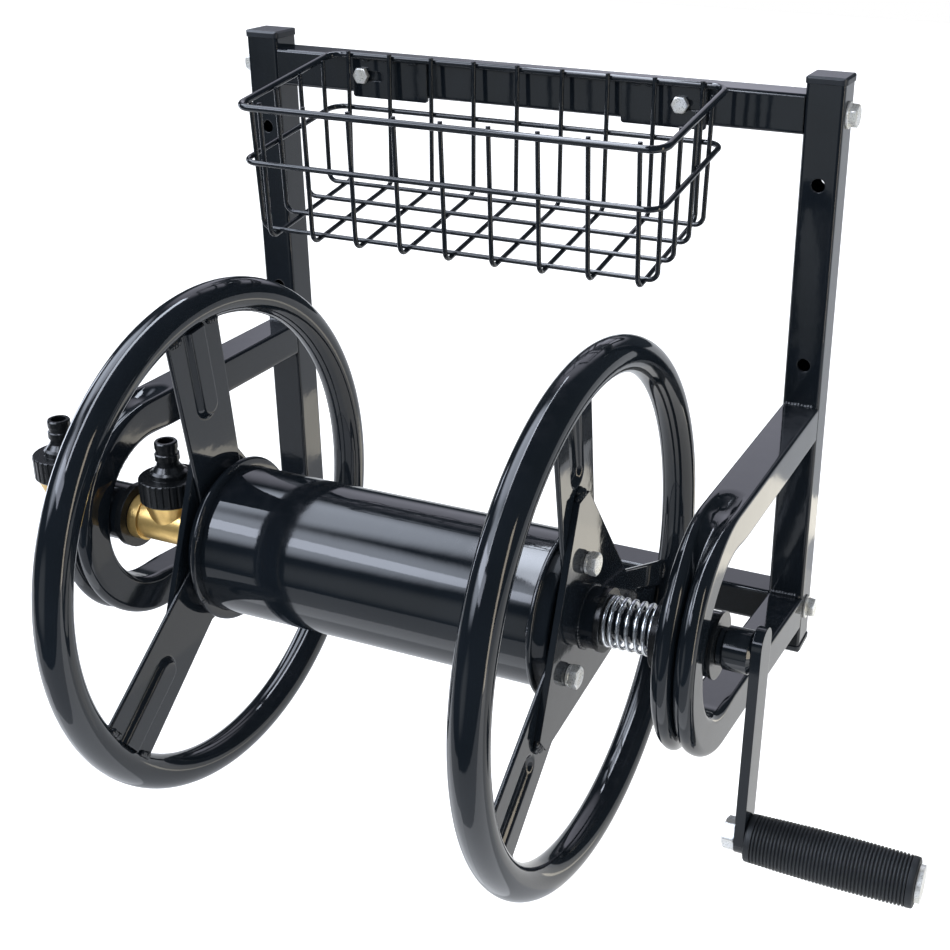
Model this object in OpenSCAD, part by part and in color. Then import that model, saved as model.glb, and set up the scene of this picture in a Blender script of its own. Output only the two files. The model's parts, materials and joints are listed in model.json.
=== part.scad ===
// Wall mounted hose reel: a square tube wall frame with two crush-bent arms,
// a crank-turned drum between two spoked wheels, a brass water swivel and a wire basket.
// X runs along the reel axis towards the crank, Y towards the wall, Z up.
// The origin is the centre of the four wall holes, on the wall plane.

/* [Frame] */
// Outside width of the square tube
tube_w = 25; // [20:0.5:30]
// Wall of the square tube
tube_wall = 1.5; // [1:0.1:2.5]
// Outside corner radius of the square tube
tube_corner = 2.5; // [2:0.1:4]
// Length of a post
post_len = 396; // [360:1:440]
// Length of a crossbar, which is the clear width between the posts
bar_len = 383; // [360:1:420]
// Height between the two wall holes of a post
wall_pitch = 120; // [90:1:150]
// Diameter of a wall hole
wall_hole_d = 9; // [7:0.5:11]
// Top of the post above its upper wall hole
wall_hole_drop = 62.5; // [50:0.5:75]
// Upper crossbar's centre below the top of the post
bar_top_drop = 19.5; // [16:0.5:30]
// Lower crossbar's centre above the foot of the post
bar_low_rise = 27.5; // [20:0.5:40]
// Thickness of a post cap's head
cap_head = 4.5; // [3:0.1:7]
// Overhang of a post cap past the tube
cap_over = 0.8; // [0:0.1:1.5]
// Depth of a post cap's plug in the tube
cap_plug = 12; // [6:0.5:14]
// Chamfer on a post cap's head
cap_chamfer = 1.4; // [0.5:0.1:2]

/* [Arms] */
// Upper leg's centre above the foot of the post
arm_rise = 172.5; // [165:0.5:185]
// Lower leg's centre above the foot of the post, at the post
arm_foot = 27.5; // [20:0.5:40]
// Bend centre in front of the wall
arm_reach = 198.5; // [185:0.5:215]
// Centre-line radius of the bend
bend_r = 63.5; // [58:0.5:68]
// Radius of the two ridges on the crushed bend
ridge_r = 6; // [5:0.1:6]
// Radius of the two edges on the inner side of the bend
heel_r = 5; // [3:0.5:7]
// Half the angle of the valley in which the groove runs out, in degrees
valley_half = 40; // [25:1:60]
// Depth of the groove between the ridges
groove_depth = 10; // [6:0.5:11]
// Length over which the groove runs out into a leg
groove_run = 34; // [20:1:50]

/* [Bearings] */
// Reel axis in front of the bend centre
axis_front = 32; // [31:0.1:33]
// Reel axis above the bend centre
axis_up = 8; // [7:0.1:9]
// Outside diameter of a bearing sleeve
sleeve_od = 38; // [36:0.5:39]
// Inside diameter of a bearing sleeve
sleeve_id = 32; // [29:0.5:33]
// How far a sleeve stands in from its arm
sleeve_proud = 4.5; // [2:0.5:8]
// Flange diameter of a bush
bush_flange_d = 43; // [40:0.5:46]
// Flange thickness of a bush
bush_flange_t = 4.5; // [3:0.1:6]
// Diameter of an outer bush's flange
outer_flange_d = 39.5; // [38.5:0.5:44]
// Thickness of an outer bush's flange
outer_flange_t = 2; // [1.5:0.1:4]
// Length of a bush's barrel in its sleeve
bush_barrel = 13; // [8:0.5:14]
// Diameter of the axles and of the water stem
axle_d = 20; // [16:0.5:22]

/* [Reel] */
// Room between the posts beside the two wheels, both sides together
reel_room = 126; // [120:1:150]
// Middle of the reel to the right of the frame's middle
reel_shift = 10; // [6:0.5:12]
// Centre-line radius of a rim
rim_r = 155; // [140:1:160]
// Tube diameter of a rim
rim_d = 22; // [18:0.5:24]
// Wall of the rim tube
rim_wall = 1.5; // [1:0.1:2]
// Drum diameter
drum_d = 94; // [86:1:96]
// Wall of the drum
drum_wall = 2; // [1.5:0.1:3]

/* [Wheels] */
// Number of spokes in a wheel
spoke_n = 3; // [3:1:3]
// Direction of the first spoke, from the wall side upwards
spoke_turn = 97; // [85:1:110]
// Thickness of a spoke
spoke_t = 3; // [2:0.1:4]
// Width of a spoke at the hub
spoke_hub_w = 43; // [38:0.5:46]
// Width of a spoke at the rim
spoke_rim_w = 50; // [46:0.5:54]
// Inner end of a spoke from the axis
spoke_in = 28; // [26:0.5:30]
// Width of the pressed rib in a spoke
rib_w = 18; // [14:0.5:22]
// Height of the pressed rib
rib_h = 3.5; // [2:0.1:4]
// Sheet left at the sides of the pressed rib
rib_wall = 3; // [2:0.1:4]
// Round end of the rib from the axis
rib_in = 88; // [80:1:100]
// Thickness of a hub plate
plate_t = 4; // [3:0.1:5]
// Tip of a hub plate from the axis
plate_tip_r = 82; // [76:0.5:88]
// Width of a hub plate's tip
plate_tip_w = 14; // [8:0.5:18]
// Sheet of a dished cup
cup_t = 2; // [1.5:0.1:3]
// Depth of a dished cup
cup_depth = 10.5; // [9.5:0.1:13]
// Radius of a cup's face
cup_face_r = 46; // [45.5:0.1:47]
// Step of a cup's lip over the drum
cup_lip = 6; // [5:0.1:7]
// Radius of the hub bolt circle
hub_bolt_r = 38; // [35:0.5:38.5]
// Diameter of a hub boss
boss_d = 36.6; // [32:0.2:40]
// Length of a hub boss
boss_len = 9.5; // [6:0.5:12]

/* [Drag spring] */
// Diameter of the thrust washer
thrust_d = 38.6; // [36:0.2:42]
// Thickness of the thrust washer
thrust_t = 3; // [2:0.1:4]
// Outside diameter of the spring
spring_od = 31; // [29:0.5:33]
// Wire diameter of the spring
spring_wire = 2.5; // [2:0.1:3]
// Number of curls
spring_curls = 7; // [5:1:7]
// Rings of points in one curl
spring_rings = 16; // [8:4:24]

/* [Crank] */
// Diameter of the crank hub
crank_hub_d = 25.5; // [24:0.5:30]
// Length of the crank hub with its neck
crank_hub_len = 20; // [16:0.5:24]
// Diameter of the crank hub's neck
crank_neck_d = 22.5; // [21.5:0.5:24]
// Length of the crank hub's neck
crank_neck = 3; // [2:0.5:5]
// Width of the crank arm
crank_w = 20.5; // [18:0.5:24]
// Thickness of the crank arm
crank_t = 6; // [4:0.5:8]
// Throw of the crank
crank_throw = 119.3; // [100:0.1:130]
// How far the crank arm's round end is centred beyond the axle
crank_over = 6.3; // [0:0.1:8]
// Direction of the crank arm, from the wall side upwards
crank_turn = 265.6; // [0:0.1:359]
// Length of the grip
grip_len = 99; // [85:0.5:120]
// Grip diameter at the crank arm
grip_d_in = 31; // [28:0.5:34]
// Grip diameter at the free end
grip_d_out = 28; // [25:0.5:31]
// Plain collar at each end of the grip
grip_collar = 7; // [4:0.5:12]
// Number of rings on the grip
grip_rings = 38; // [20:1:44]
// Depth of a ring's groove
grip_groove = 0.7; // [0.3:0.1:1]
// Diameter of the grip bolt
grip_bolt_d = 10; // [8:0.5:12]
// Diameter of the disc on the grip bolt's end
grip_disc_d = 22; // [18:0.5:26]
// Thickness of the disc
grip_disc_t = 3; // [2:0.1:4]

/* [Water fittings] */
// Diameter of the brass tee's body
tee_d = 28; // [26:0.5:30]
// Diameter of the rings on the tee's ends
tee_ring_d = 31; // [29:0.5:34]
// Length of the rings on the tee's ends
tee_ring = 7; // [4:0.5:10]
// Water passage
water_d = 12; // [10:0.5:13]
// Depth of the stem and of the axle stub in the tee
tee_socket = 16; // [12:0.5:18]
// Outlet branch to the left of the bearing end of the tee
outlet_in = 26; // [24:0.5:30]
// Diameter of a branch's threaded neck
neck_d = 26; // [24:0.5:26.5]
// Bottom of the outlet adapter above the axis
outlet_rise = 17.5; // [15.5:0.5:20]
// Bottom of the inlet adapter above the axis
inlet_rise = 17.5; // [15.5:0.5:20]
// Inlet branch outside the bearing
inlet_out = 23.5; // [21:0.5:30]
// Diameter of the elbow's body
elbow_d = 30; // [28:0.5:32]
// Diameter of an adapter's collar
collar_d = 39.5; // [38:0.5:44]
// Length of an adapter's collar
collar_len = 16.2; // [15:0.1:24]
// Number of grip flutes on a collar
collar_flutes = 28; // [16:1:36]
// Radius of a flute
flute_r = 1.1; // [0.5:0.1:1.5]
// Depth of the threaded neck in a collar
neck_depth = 13; // [10:0.5:14]
// Diameter of the snap nipple
nipple_d = 15.8; // [15:0.1:18]
// Length of the snap nipple
nipple_len = 24.5; // [23:0.5:28]
// Bore of a hose nipple
nipple_bore = 10; // [8:0.5:11]
// Diameter of the boss under a hose adapter
neck_boss_d = 36.5; // [30:0.5:38]
// Diameter at the root of that boss
neck_root_d = 24; // [18:0.5:26]
// Section diameter of an O-ring
oring_d = 2.4; // [2:0.1:2.8]

/* [Basket] */
// Rim wire
rim_wire = 4.5; // [3.5:0.1:5]
// Band wire
band_wire = 3.5; // [3:0.1:4]
// Wire of the floor and sides
mesh_wire = 3; // [2.4:0.1:3.4]
// Width of the rim between wire centres
basket_w = 287; // [270:1:300]
// Depth of the rim between wire centres
basket_d = 117; // [105:1:125]
// Drop of the rim from back to front
basket_drop = 17; // [0:0.5:25]
// Back rim above the top crossbar's upper face
basket_up = 1; // [0:0.1:2]
// Height from the floor to the rim at the back
basket_h = 84.5; // [70:0.5:95]
// Lean of the back wires towards the front at the floor
lean_back = 3.6; // [0:0.1:8]
// Lean of the front wires towards the back at the floor
lean_front = 2.3; // [0:0.1:8]
// Lean of the end wires inwards at the floor
lean_end = 2; // [0:0.1:6]
// Band below the rim
band_drop = 35; // [25:0.5:45]
// Inside radius of the rim's corners
rim_corner = 8; // [6:0.5:12]
// Centre-line radius of the bends at the floor
mesh_bend = 6; // [5:0.5:9]
// Pitch of the cross wires
cross_pitch = 32; // [28:0.5:33]
// Number of cross wires
cross_n = 9; // [7:2:9]
// Pitch of the long wires on the floor
long_pitch = 27.2; // [22:0.1:27.4]
// Number of long wires
long_n = 4; // [3:1:4]
// First long wire in front of the back wires at the floor
long_first = 13.5; // [9:0.5:18]
// Tips of the cross wires above the rim
wire_tip = 3; // [2:0.1:4]
// Length of a basket plate
bplate_len = 58; // [50:0.5:66]
// Height of a basket plate
bplate_h = 27; // [24:0.5:28]
// Thickness of a basket plate
bplate_t = 2; // [1.5:0.1:2.2]
// Centre of a basket plate from the frame's middle
bplate_x = 100; // [90:0.5:105]
// Centre of a plate's slot from the frame's middle
slot_x = 116.5; // [110:0.5:120]
// Travel of a bolt in its slot
slot_travel = 17; // [10:0.5:20]
// Left basket bolt towards the outer end of its slot
bolt_left_out = 4.5; // [-5:0.5:5]
// Right basket bolt towards the outer end of its slot
bolt_right_out = -4.5; // [-5:0.5:5]

/* [Fasteners] */
// Frame and hub bolt diameter
m8_d = 8; // [6:1:10]
// Frame and hub bolt head across flats
m8_af = 13; // [10:0.5:13.5]
// Frame and hub bolt head height
m8_head = 5.3; // [4:0.1:6]
// Hub nut height
m8_nut = 6.2; // [5:0.1:6.4]
// Frame washer diameter
washer_d = 17; // [15:0.5:20]
// Frame washer thickness
washer_t = 1.6; // [1:0.1:2]
// Spring washer diameter
lock_d = 14; // [12.5:0.1:15]
// Spring washer thickness
lock_t = 2; // [1.5:0.1:2.5]
// Nut plate thickness
nut_plate_t = 8; // [5:0.5:10]
// Basket bolt diameter
m6_d = 6; // [4:0.5:6.5]
// Basket bolt head across flats
m6_af = 10; // [8:0.5:10]
// Basket bolt head height
m6_head = 4; // [3:0.1:4.2]
// Basket bolt length
m6_len = 12; // [8:0.5:16]
// Grip nut across flats
m10_af = 17; // [15:0.5:18]
// Grip nut height
m10_nut = 8; // [6:0.5:9]

/* [Clearances] */
// Radial clearance of a turning fit
run_fit = 0.05; // [0.02:0.01:0.1]
// Side clearance of a sliding or turning face
side_gap = 0.3; // [0.2:0.05:0.5]
// Radial clearance of a bolt in its hole
bolt_fit = 0.5; // [0.2:0.1:0.8]
// Clearance of a plug in its tube
plug_fit = 0.1; // [0.05:0.05:0.3]
// Swelling of a wire where it is bent
bend_swell = 0.05; // [0.04:0.01:0.1]
// Lap of a straight run into a bend
bend_lap = 0.4; // [0.2:0.1:0.5]

/* [Hidden] */
$fn = 64;

// Places on the frame
post_x = (bar_len + tube_w) / 2;
post_top = wall_pitch / 2 + wall_hole_drop;
post_foot = post_top - post_len;
mid_y = -tube_w / 2;
bar_top_z = post_top - bar_top_drop;
bar_low_z = post_foot + bar_low_rise;
bore_w = tube_w - 2 * tube_wall;
bore_corner = max(tube_corner - tube_wall, 0.4);

// Places on an arm: the lower leg is the tangent from its foot to the bend
arm_z = post_foot + arm_rise;
foot_z = post_foot + arm_foot;
bend_z = arm_z - bend_r;
foot_dy = arm_reach - tube_w;
foot_dz = bend_z - foot_z;
foot_far = sqrt(foot_dy * foot_dy + foot_dz * foot_dz);
arm_slope = atan2(foot_dz, foot_dy) - asin(bend_r / foot_far);
low_leg = sqrt(foot_far * foot_far - bend_r * bend_r);

// Reel axis and places along it
axis_y = -arm_reach - axis_front;
axis_z = bend_z + axis_up;
wheel_gap = bar_len - reel_room;
wheel_right = reel_shift + wheel_gap / 2;
wheel_left = reel_shift - wheel_gap / 2;
axle_r = axle_d / 2;
drum_r = drum_d / 2;
sleeve_in = post_x - tube_w / 2 - sleeve_proud;
sleeve_out = post_x + tube_w / 2 + side_gap;
sleeve_len = sleeve_out - sleeve_in;
bush_in = sleeve_in - bush_flange_t;
bush_out = sleeve_out + outer_flange_t;
spoke_z = -plate_t - spoke_t;
cup_z = spoke_z - cup_depth;
drum_in = cup_z + cup_t - 0.5;
drum_right = wheel_right + drum_in;
drum_left = wheel_left - drum_in;
boss_right = wheel_right + boss_len;
boss_left = wheel_left - boss_len;
spring_start = boss_right + thrust_t;
spring_end = bush_in - run_fit;
crank_in = bush_out + side_gap;
crank_x = crank_in + crank_hub_len;
crank_face = crank_x + crank_t;
pin_y = axis_y + crank_throw * cos(crank_turn);
pin_z = axis_z + crank_throw * sin(crank_turn);
grip_start = crank_face + side_gap;
grip_end = grip_start + grip_len;
tee_left = -bush_in + side_gap;
outlet_x = tee_left + outlet_in;
inlet_x = -bush_out - inlet_out;

// Places on the basket, as points of the side view (Y, Z)
rim_back = [-tube_w - bplate_t - rim_wire / 2, bar_top_z + tube_w / 2 + basket_up];
rim_run = sqrt(basket_d * basket_d - basket_drop * basket_drop);
rim_front = rim_back + [-rim_run, -basket_drop];
rim_tilt = asin(basket_drop / basket_d);
wire_step = (rim_wire + mesh_wire) / 2;
band_step = (band_wire + mesh_wire) / 2;
back_top = rim_back + [-wire_step, 0];
front_top = rim_front + [wire_step, 0];
back_low = back_top + [-lean_back, -basket_h];
front_low = front_top + [lean_front, -basket_h];
floor_tilt = atan2(back_low[1] - front_low[1], back_low[0] - front_low[0]);
end_half = basket_w / 2 - wire_step;
floor_half = end_half - lean_end;
band_back = back_top + [-lean_back * band_drop / basket_h + band_step, -band_drop];
band_front = front_top + [lean_front * band_drop / basket_h - band_step, -band_drop];
band_tilt = atan2(band_back[1] - band_front[1], band_back[0] - band_front[0]);
band_deep = norm(band_back - band_front);
band_half = end_half - lean_end * band_drop / basket_h + band_step;

// Coil of the drag spring, unrolled: straight end, rounded corner, slope, and the same again
coil_r = (spring_od - spring_wire) / 2;
coil_corner = spring_wire;
coil_low = spring_start + spring_wire + coil_corner;
coil_high = spring_end - spring_wire - coil_corner;
coil_run = 360 * spring_curls;
coil_pitch = (coil_high - coil_low) / spring_curls;
corner_turn = coil_corner * 180 / (PI * coil_r);
coil_path = concat(
    [[spring_start, 0], [spring_start + spring_wire, 0]],
    [for (a = [30 : 30 : 60]) [coil_low - coil_corner * (1 - sin(a)), corner_turn * (1 - cos(a))]],
    [for (i = [0 : spring_curls * spring_rings])
        [coil_low + (coil_high - coil_low) * i / (spring_curls * spring_rings),
         corner_turn + 360 * i / spring_rings]],
    [for (a = [60 : -30 : 30])
        [coil_high + coil_corner * (1 - sin(a)), corner_turn * (1 + cos(a)) + coil_run]],
    [[spring_end - spring_wire, 2 * corner_turn + coil_run], [spring_end, 2 * corner_turn + coil_run]]
);

function coil_point(p) = [p[0], coil_r * cos(p[1]), coil_r * sin(p[1])];
function coil_way(i) =
    let (a = coil_path[max(i - 1, 0)], b = coil_path[min(i + 1, len(coil_path) - 1)])
    let (dx = b[0] - a[0], ds = (b[1] - a[1]) * PI / 180 * coil_r)
    [dx, ds] / norm([dx, ds]);
function coil_ring(i) =
    let (p = coil_path[i], way = coil_way(i), c = coil_point(p))
    let (out = [0, cos(p[1]), sin(p[1])], side = [0, -sin(p[1]), cos(p[1])])
    let (across = [-way[1], 0, 0] + way[0] * side)
    [for (k = [0 : 5]) c + spring_wire / 2 * (cos(60 * k) * out + sin(60 * k) * across)];
coil_gap = min([for (i = [0 : len(coil_path) - 1])
    min([for (j = [0 : len(coil_path) - 1])
        if (abs(i - j) > spring_rings / 2) norm(coil_point(coil_path[i]) - coil_point(coil_path[j]))])
]) - spring_wire;
echo(least_gap_between_curls = coil_gap);

// Plain shapes

module rounded(w, h, r) {
    square([w - 2 * r, h], center = true);
    square([w, h - 2 * r], center = true);
    for (x = [-1, 1], y = [-1, 1])
        translate([x * (w / 2 - r), y * (h / 2 - r)])
            circle(r);
}

module tube_outline() {
    difference() {
        rounded(tube_w, tube_w, tube_corner);
        rounded(bore_w, bore_w, bore_corner);
    }
}

module hexagon(af) {
    circle(d = af / cos(30), $fn = 6);
}

module hex_bolt(d, af, head, long) {
    linear_extrude(head)
        hexagon(af);
    translate([0, 0, -long])
        cylinder(d = d, h = long);
}

module hex_nut(d, af, high) {
    linear_extrude(high)
        difference() {
            hexagon(af);
            circle(d = d);
        }
}

module ring(od, id, high) {
    linear_extrude(high)
        difference() {
            circle(d = od);
            circle(d = id);
        }
}

// Turns a shape so that its Z lies along X, with its X along Y and its Y along Z
module along_x() {
    rotate([90, 0, 90])
        children();
}

module on_axis(x) {
    translate([x, axis_y, axis_z])
        along_x()
            children();
}

// A wheel's own frame: Z outwards from the drum, with zero on the hub plate's outer face
module on_wheel(side) {
    if (side > 0)
        translate([wheel_right, axis_y, axis_z])
            along_x()
                children();
    else
        translate([wheel_left, axis_y, axis_z])
            mirror([1, 0, 0])
                along_x()
                    children();
}

module each_spoke() {
    for (i = [0 : spoke_n - 1])
        rotate(spoke_turn + i * 360 / spoke_n)
            children();
}

// A round wire along straight runs in its own plane, bent at each corner with one radius
module bent_wire(points, radius, d, closed = false) {
    n = len(points);
    function heading(a, b) = atan2(b[1] - a[1], b[0] - a[0]);
    function bend(i) =
        let (a = points[(i + n - 1) % n], b = points[i], c = points[(i + 1) % n])
        let (t = heading(b, c) - heading(a, b))
        t > 180 ? t - 360 : t < -180 ? t + 360 : t;
    function setback(i) = !closed && (i == 0 || i == n - 1) ? 0 : radius * tan(abs(bend(i)) / 2);
    runs = closed ? n : n - 1;
    for (i = [0 : runs - 1]) {
        a = points[i];
        b = points[(i + 1) % n];
        lap_a = closed || i > 0 ? bend_lap : 0;
        lap_b = closed || i < n - 2 ? bend_lap : 0;
        run = norm(b - a) - setback(i) - setback((i + 1) % n) + lap_a + lap_b;
        translate([a[0], a[1], 0])
            rotate(heading(a, b))
                translate([setback(i) - lap_a, 0, 0])
                    rotate([0, 90, 0])
                        cylinder(d = d, h = run);
    }
    first = closed ? 0 : 1;
    last = closed ? n - 1 : n - 2;
    for (i = [first : last]) {
        a = points[(i + n - 1) % n];
        b = points[i];
        turn = bend(i);
        translate([b[0], b[1], 0])
            rotate(heading(a, b))
                translate([-setback(i), sign(turn) * radius, 0])
                    rotate(turn > 0 ? -90 : 90 + turn)
                        rotate_extrude(angle = abs(turn))
                            translate([radius, 0])
                                circle(d = d + 2 * bend_swell);
    }
}

// Frame

module post(side) {
    translate([side * post_x, mid_y, 0])
        difference() {
            translate([0, 0, post_foot])
                linear_extrude(post_len)
                    tube_outline();
            for (z = [-1, 1])
                translate([0, 0, z * wall_pitch / 2])
                    rotate([90, 0, 0])
                        cylinder(d = wall_hole_d, h = 2 * tube_w, center = true);
            for (z = [bar_top_z, bar_low_z])
                translate([0, 0, z])
                    rotate([0, 90, 0])
                        cylinder(d = m8_d + 2 * bolt_fit, h = 2 * tube_w, center = true);
        }
}

module left_post() {
    color("#23262b")
        post(-1);
}

module right_post() {
    color("#23262b")
        post(1);
}

module post_cap() {
    head_w = tube_w + 2 * cap_over;
    plug_w = bore_w - 2 * plug_fit;
    difference() {
        linear_extrude(cap_head)
            rounded(head_w, head_w, tube_corner + cap_over);
        for (a = [0 : 90 : 270])
            rotate(a)
                translate([head_w / 2, 0, cap_head - cap_chamfer])
                    rotate([0, -45, 0])
                        translate([0, -head_w, 0])
                            cube([head_w, 2 * head_w, head_w]);
    }
    translate([0, 0, -cap_plug])
        linear_extrude(cap_plug)
            rounded(plug_w, plug_w, bore_corner);
}

module post_caps() {
    color("#3a3d42")
        for (side = [-1, 1]) {
            translate([side * post_x, mid_y, post_top])
                post_cap();
            translate([side * post_x, mid_y, post_foot])
                rotate([180, 0, 0])
                    post_cap();
        }
}

module crossbar(z) {
    translate([0, mid_y, z])
        rotate([0, 90, 0])
            linear_extrude(bar_len, center = true)
                tube_outline();
}

module top_crossbar() {
    color("#23262b")
        difference() {
            crossbar(bar_top_z);
            for (x = [-slot_x - bolt_left_out, slot_x + bolt_right_out])
                translate([x, -tube_w, bar_top_z])
                    rotate([90, 0, 0])
                        cylinder(d = m6_d, h = tube_w, center = true);
        }
}

module bottom_crossbar() {
    color("#23262b")
        crossbar(bar_low_z);
}

module at_bar_ends() {
    for (side = [-1, 1], z = [bar_top_z, bar_low_z])
        translate([0, mid_y, z])
            rotate([0, side * 90, 0])
                children();
}

module crossbar_nut_plates() {
    color("#3c4046")
        at_bar_ends()
            translate([0, 0, bar_len / 2 - nut_plate_t])
                linear_extrude(nut_plate_t)
                    difference() {
                        rounded(bore_w, bore_w, bore_corner);
                        circle(d = m8_d);
                    }
}

module frame_bolts() {
    color("#b9bec4")
        at_bar_ends()
            translate([0, 0, bar_len / 2 + tube_w + washer_t])
                hex_bolt(m8_d, m8_af, m8_head, washer_t + tube_w + nut_plate_t);
}

module frame_washers() {
    color("#b9bec4")
        at_bar_ends()
            translate([0, 0, bar_len / 2 + tube_w])
                ring(washer_d, m8_d + bolt_fit, washer_t);
}

// Arms: a plain tube leg, a crushed bend with two ridges, and a lower leg on its tangent

module groove_outline(r) {
    translate([0, tube_w / 2 - groove_depth + groove_r])
        circle(r);
    translate([-r, tube_w / 2 - groove_depth + groove_r])
        square([2 * r, tube_w]);
}

groove_r = tube_w / 2 - 2 * ridge_r;

// Outline of the crushed tube, with the ridges towards +Y and its heel towards -Y
module crushed_outline(skin) {
    half = tube_w / 2 - skin;
    top = tube_w / 2 - ridge_r;
    low = tube_w / 2 - heel_r;
    difference() {
        union() {
            translate([-half, -low])
                square([2 * half, top + low]);
            translate([-low, -half])
                square([2 * low, half]);
            for (x = [-1, 1]) {
                translate([x * top, top])
                    circle(ridge_r - skin);
                translate([x * low, -low])
                    circle(heel_r - skin);
            }
        }
        groove_outline(groove_r + skin);
    }
}

// The groove's run-out, a valley that climbs to the outer face of a leg along +Z
module groove_end(skin) {
    deep = tube_w / 2 - ridge_r - skin / sin(valley_half);
    high = tube_w;
    rotate([-atan(ridge_r / groove_run), 0, 0])
        translate([0, 0, -groove_run / 8])
            linear_extrude(2 * groove_run)
                polygon([[0, deep], [(high - deep) * tan(valley_half), high],
                    [-(high - deep) * tan(valley_half), high]]);
}

// A leg along +Z with its outer face towards +Y
module leg(long) {
    difference() {
        linear_extrude(long)
            rounded(tube_w, tube_w, tube_corner);
        groove_end(0);
        difference() {
            translate([0, 0, -1])
                linear_extrude(long + 2)
                    rounded(bore_w, bore_w, bore_corner);
            groove_end(tube_wall);
        }
    }
}

module arm(side) {
    translate([side * post_x, 0, 0])
        difference() {
            union() {
                translate([0, -arm_reach - bend_lap, arm_z])
                    rotate([-90, 0, 0])
                        rotate(180)
                            leg(foot_dy + bend_lap);
                translate([0, -arm_reach, bend_z])
                    rotate([180, -90, 0])
                        rotate_extrude(angle = 180 - arm_slope)
                            translate([bend_r, 0])
                                rotate(-90)
                                    difference() {
                                        crushed_outline(-bend_swell);
                                        crushed_outline(tube_wall + bend_swell);
                                    }
                intersection() {
                    translate([0, -arm_reach - bend_r * sin(arm_slope), bend_z - bend_r * cos(arm_slope)])
                        rotate([-90 - arm_slope, 0, 0])
                            translate([0, 0, -bend_lap])
                                leg(low_leg + tube_w);
                    translate([-tube_w, -2 * arm_reach, foot_z - 2 * tube_w])
                        cube([2 * tube_w, 2 * arm_reach - tube_w, 2 * arm_rise]);
                }
            }
            translate([0, axis_y, axis_z])
                rotate([0, 90, 0])
                    cylinder(d = sleeve_od, h = 2 * tube_w, center = true);
        }
}

module left_arm() {
    color("#1f2226")
        arm(-1);
}

module right_arm() {
    color("#1f2226")
        arm(1);
}

module sleeve(side) {
    on_axis(side > 0 ? sleeve_in : -sleeve_out)
        ring(sleeve_od, sleeve_id, sleeve_len);
}

module left_sleeve() {
    color("#1f2226")
        sleeve(-1);
}

module right_sleeve() {
    color("#1f2226")
        sleeve(1);
}

// A bush with its barrel towards -Z and its flange's seat at zero
module bush(flange_d, flange_t) {
    ring(flange_d, axle_d + 2 * run_fit, flange_t);
    translate([0, 0, -bush_barrel])
        ring(sleeve_id - 2 * run_fit, axle_d + 2 * run_fit, bush_barrel);
}

module turned_bush(x, flange_d, flange_t) {
    on_axis(x)
        rotate([180, 0, 0])
            bush(flange_d, flange_t);
}

module left_inner_bush() {
    color("#1b1c1e")
        on_axis(-sleeve_in)
            bush(bush_flange_d, bush_flange_t);
}

module left_outer_bush() {
    color("#1b1c1e")
        turned_bush(-sleeve_out, outer_flange_d, outer_flange_t);
}

module right_inner_bush() {
    color("#1b1c1e")
        turned_bush(sleeve_in, bush_flange_d, bush_flange_t);
}

module right_outer_bush() {
    color("#1b1c1e")
        on_axis(sleeve_out)
            bush(outer_flange_d, outer_flange_t);
}

// Basket

module basket_loop(back, tilt, half, deep, corner, d) {
    translate([0, back[0], back[1]])
        rotate([tilt, 0, 0])
            bent_wire([[-half, 0], [-half, -deep], [half, -deep], [half, 0]], corner + d / 2, d, closed = true);
}

module basket_rim() {
    color("#2a2d31")
        basket_loop(rim_back, rim_tilt, basket_w / 2, basket_d, rim_corner, rim_wire);
}

module basket_band() {
    color("#2a2d31")
        basket_loop(band_back, band_tilt, band_half, band_deep, rim_corner, band_wire);
}

module basket_cross_wires() {
    tip_back = back_top + [lean_back, basket_h] * wire_tip / basket_h;
    tip_front = front_top + [-lean_front, basket_h] * wire_tip / basket_h;
    color("#2a2d31")
        for (i = [0 : cross_n - 1])
            translate([(i - (cross_n - 1) / 2) * cross_pitch, 0, 0])
                along_x()
                    bent_wire([tip_front, front_low, back_low, tip_back], mesh_bend, mesh_wire);
}

// A long wire lies on the cross wires and stands up inside the two ends of the rim
module long_wire(step) {
    seat = mesh_wire / cos(floor_tilt);
    low = back_low + [-step, seat - step * tan(floor_tilt)];
    share = step / (back_low[0] - front_low[0]);
    top = back_top + [-share * (back_top[0] - front_top[0]), -share * basket_drop];
    high = norm(top - low);
    translate([0, low[0], low[1]])
        rotate([90 + atan2(top[0] - low[0], top[1] - low[1]) * -1, 0, 0])
            bent_wire([[-end_half, high], [-floor_half, 0], [floor_half, 0], [end_half, high]],
                mesh_bend, mesh_wire);
}

module basket_long_wires() {
    color("#2a2d31")
        for (i = [0 : long_n - 1])
            long_wire(long_first + i * long_pitch);
}

module basket_plates() {
    color("#2a2d31")
        for (side = [-1, 1])
            translate([0, -tube_w, rim_back[1] - rim_wire / 3 - bplate_h / 2])
                rotate([90, 0, 0])
                    linear_extrude(bplate_t)
                        difference() {
                            translate([side * bplate_x, 0])
                                rounded(bplate_len, bplate_h, 2);
                            translate([side * slot_x, bar_top_z - rim_back[1] + rim_wire / 3 + bplate_h / 2]) {
                                square([slot_travel, m6_d + bolt_fit], center = true);
                                for (x = [-1, 1])
                                    translate([x * slot_travel / 2, 0])
                                        circle(d = m6_d + bolt_fit);
                            }
                        }
}

module basket_bolts() {
    color("#b9bec4")
        for (x = [-slot_x - bolt_left_out, slot_x + bolt_right_out])
            translate([x, -tube_w - bplate_t, bar_top_z])
                rotate([90, 0, 0])
                    hex_bolt(m6_d, m6_af, m6_head, m6_len);
}

// Reel

module drum() {
    color("#202329")
        on_axis(drum_left)
            ring(drum_d, drum_d - 2 * drum_wall, drum_right - drum_left);
}

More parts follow.
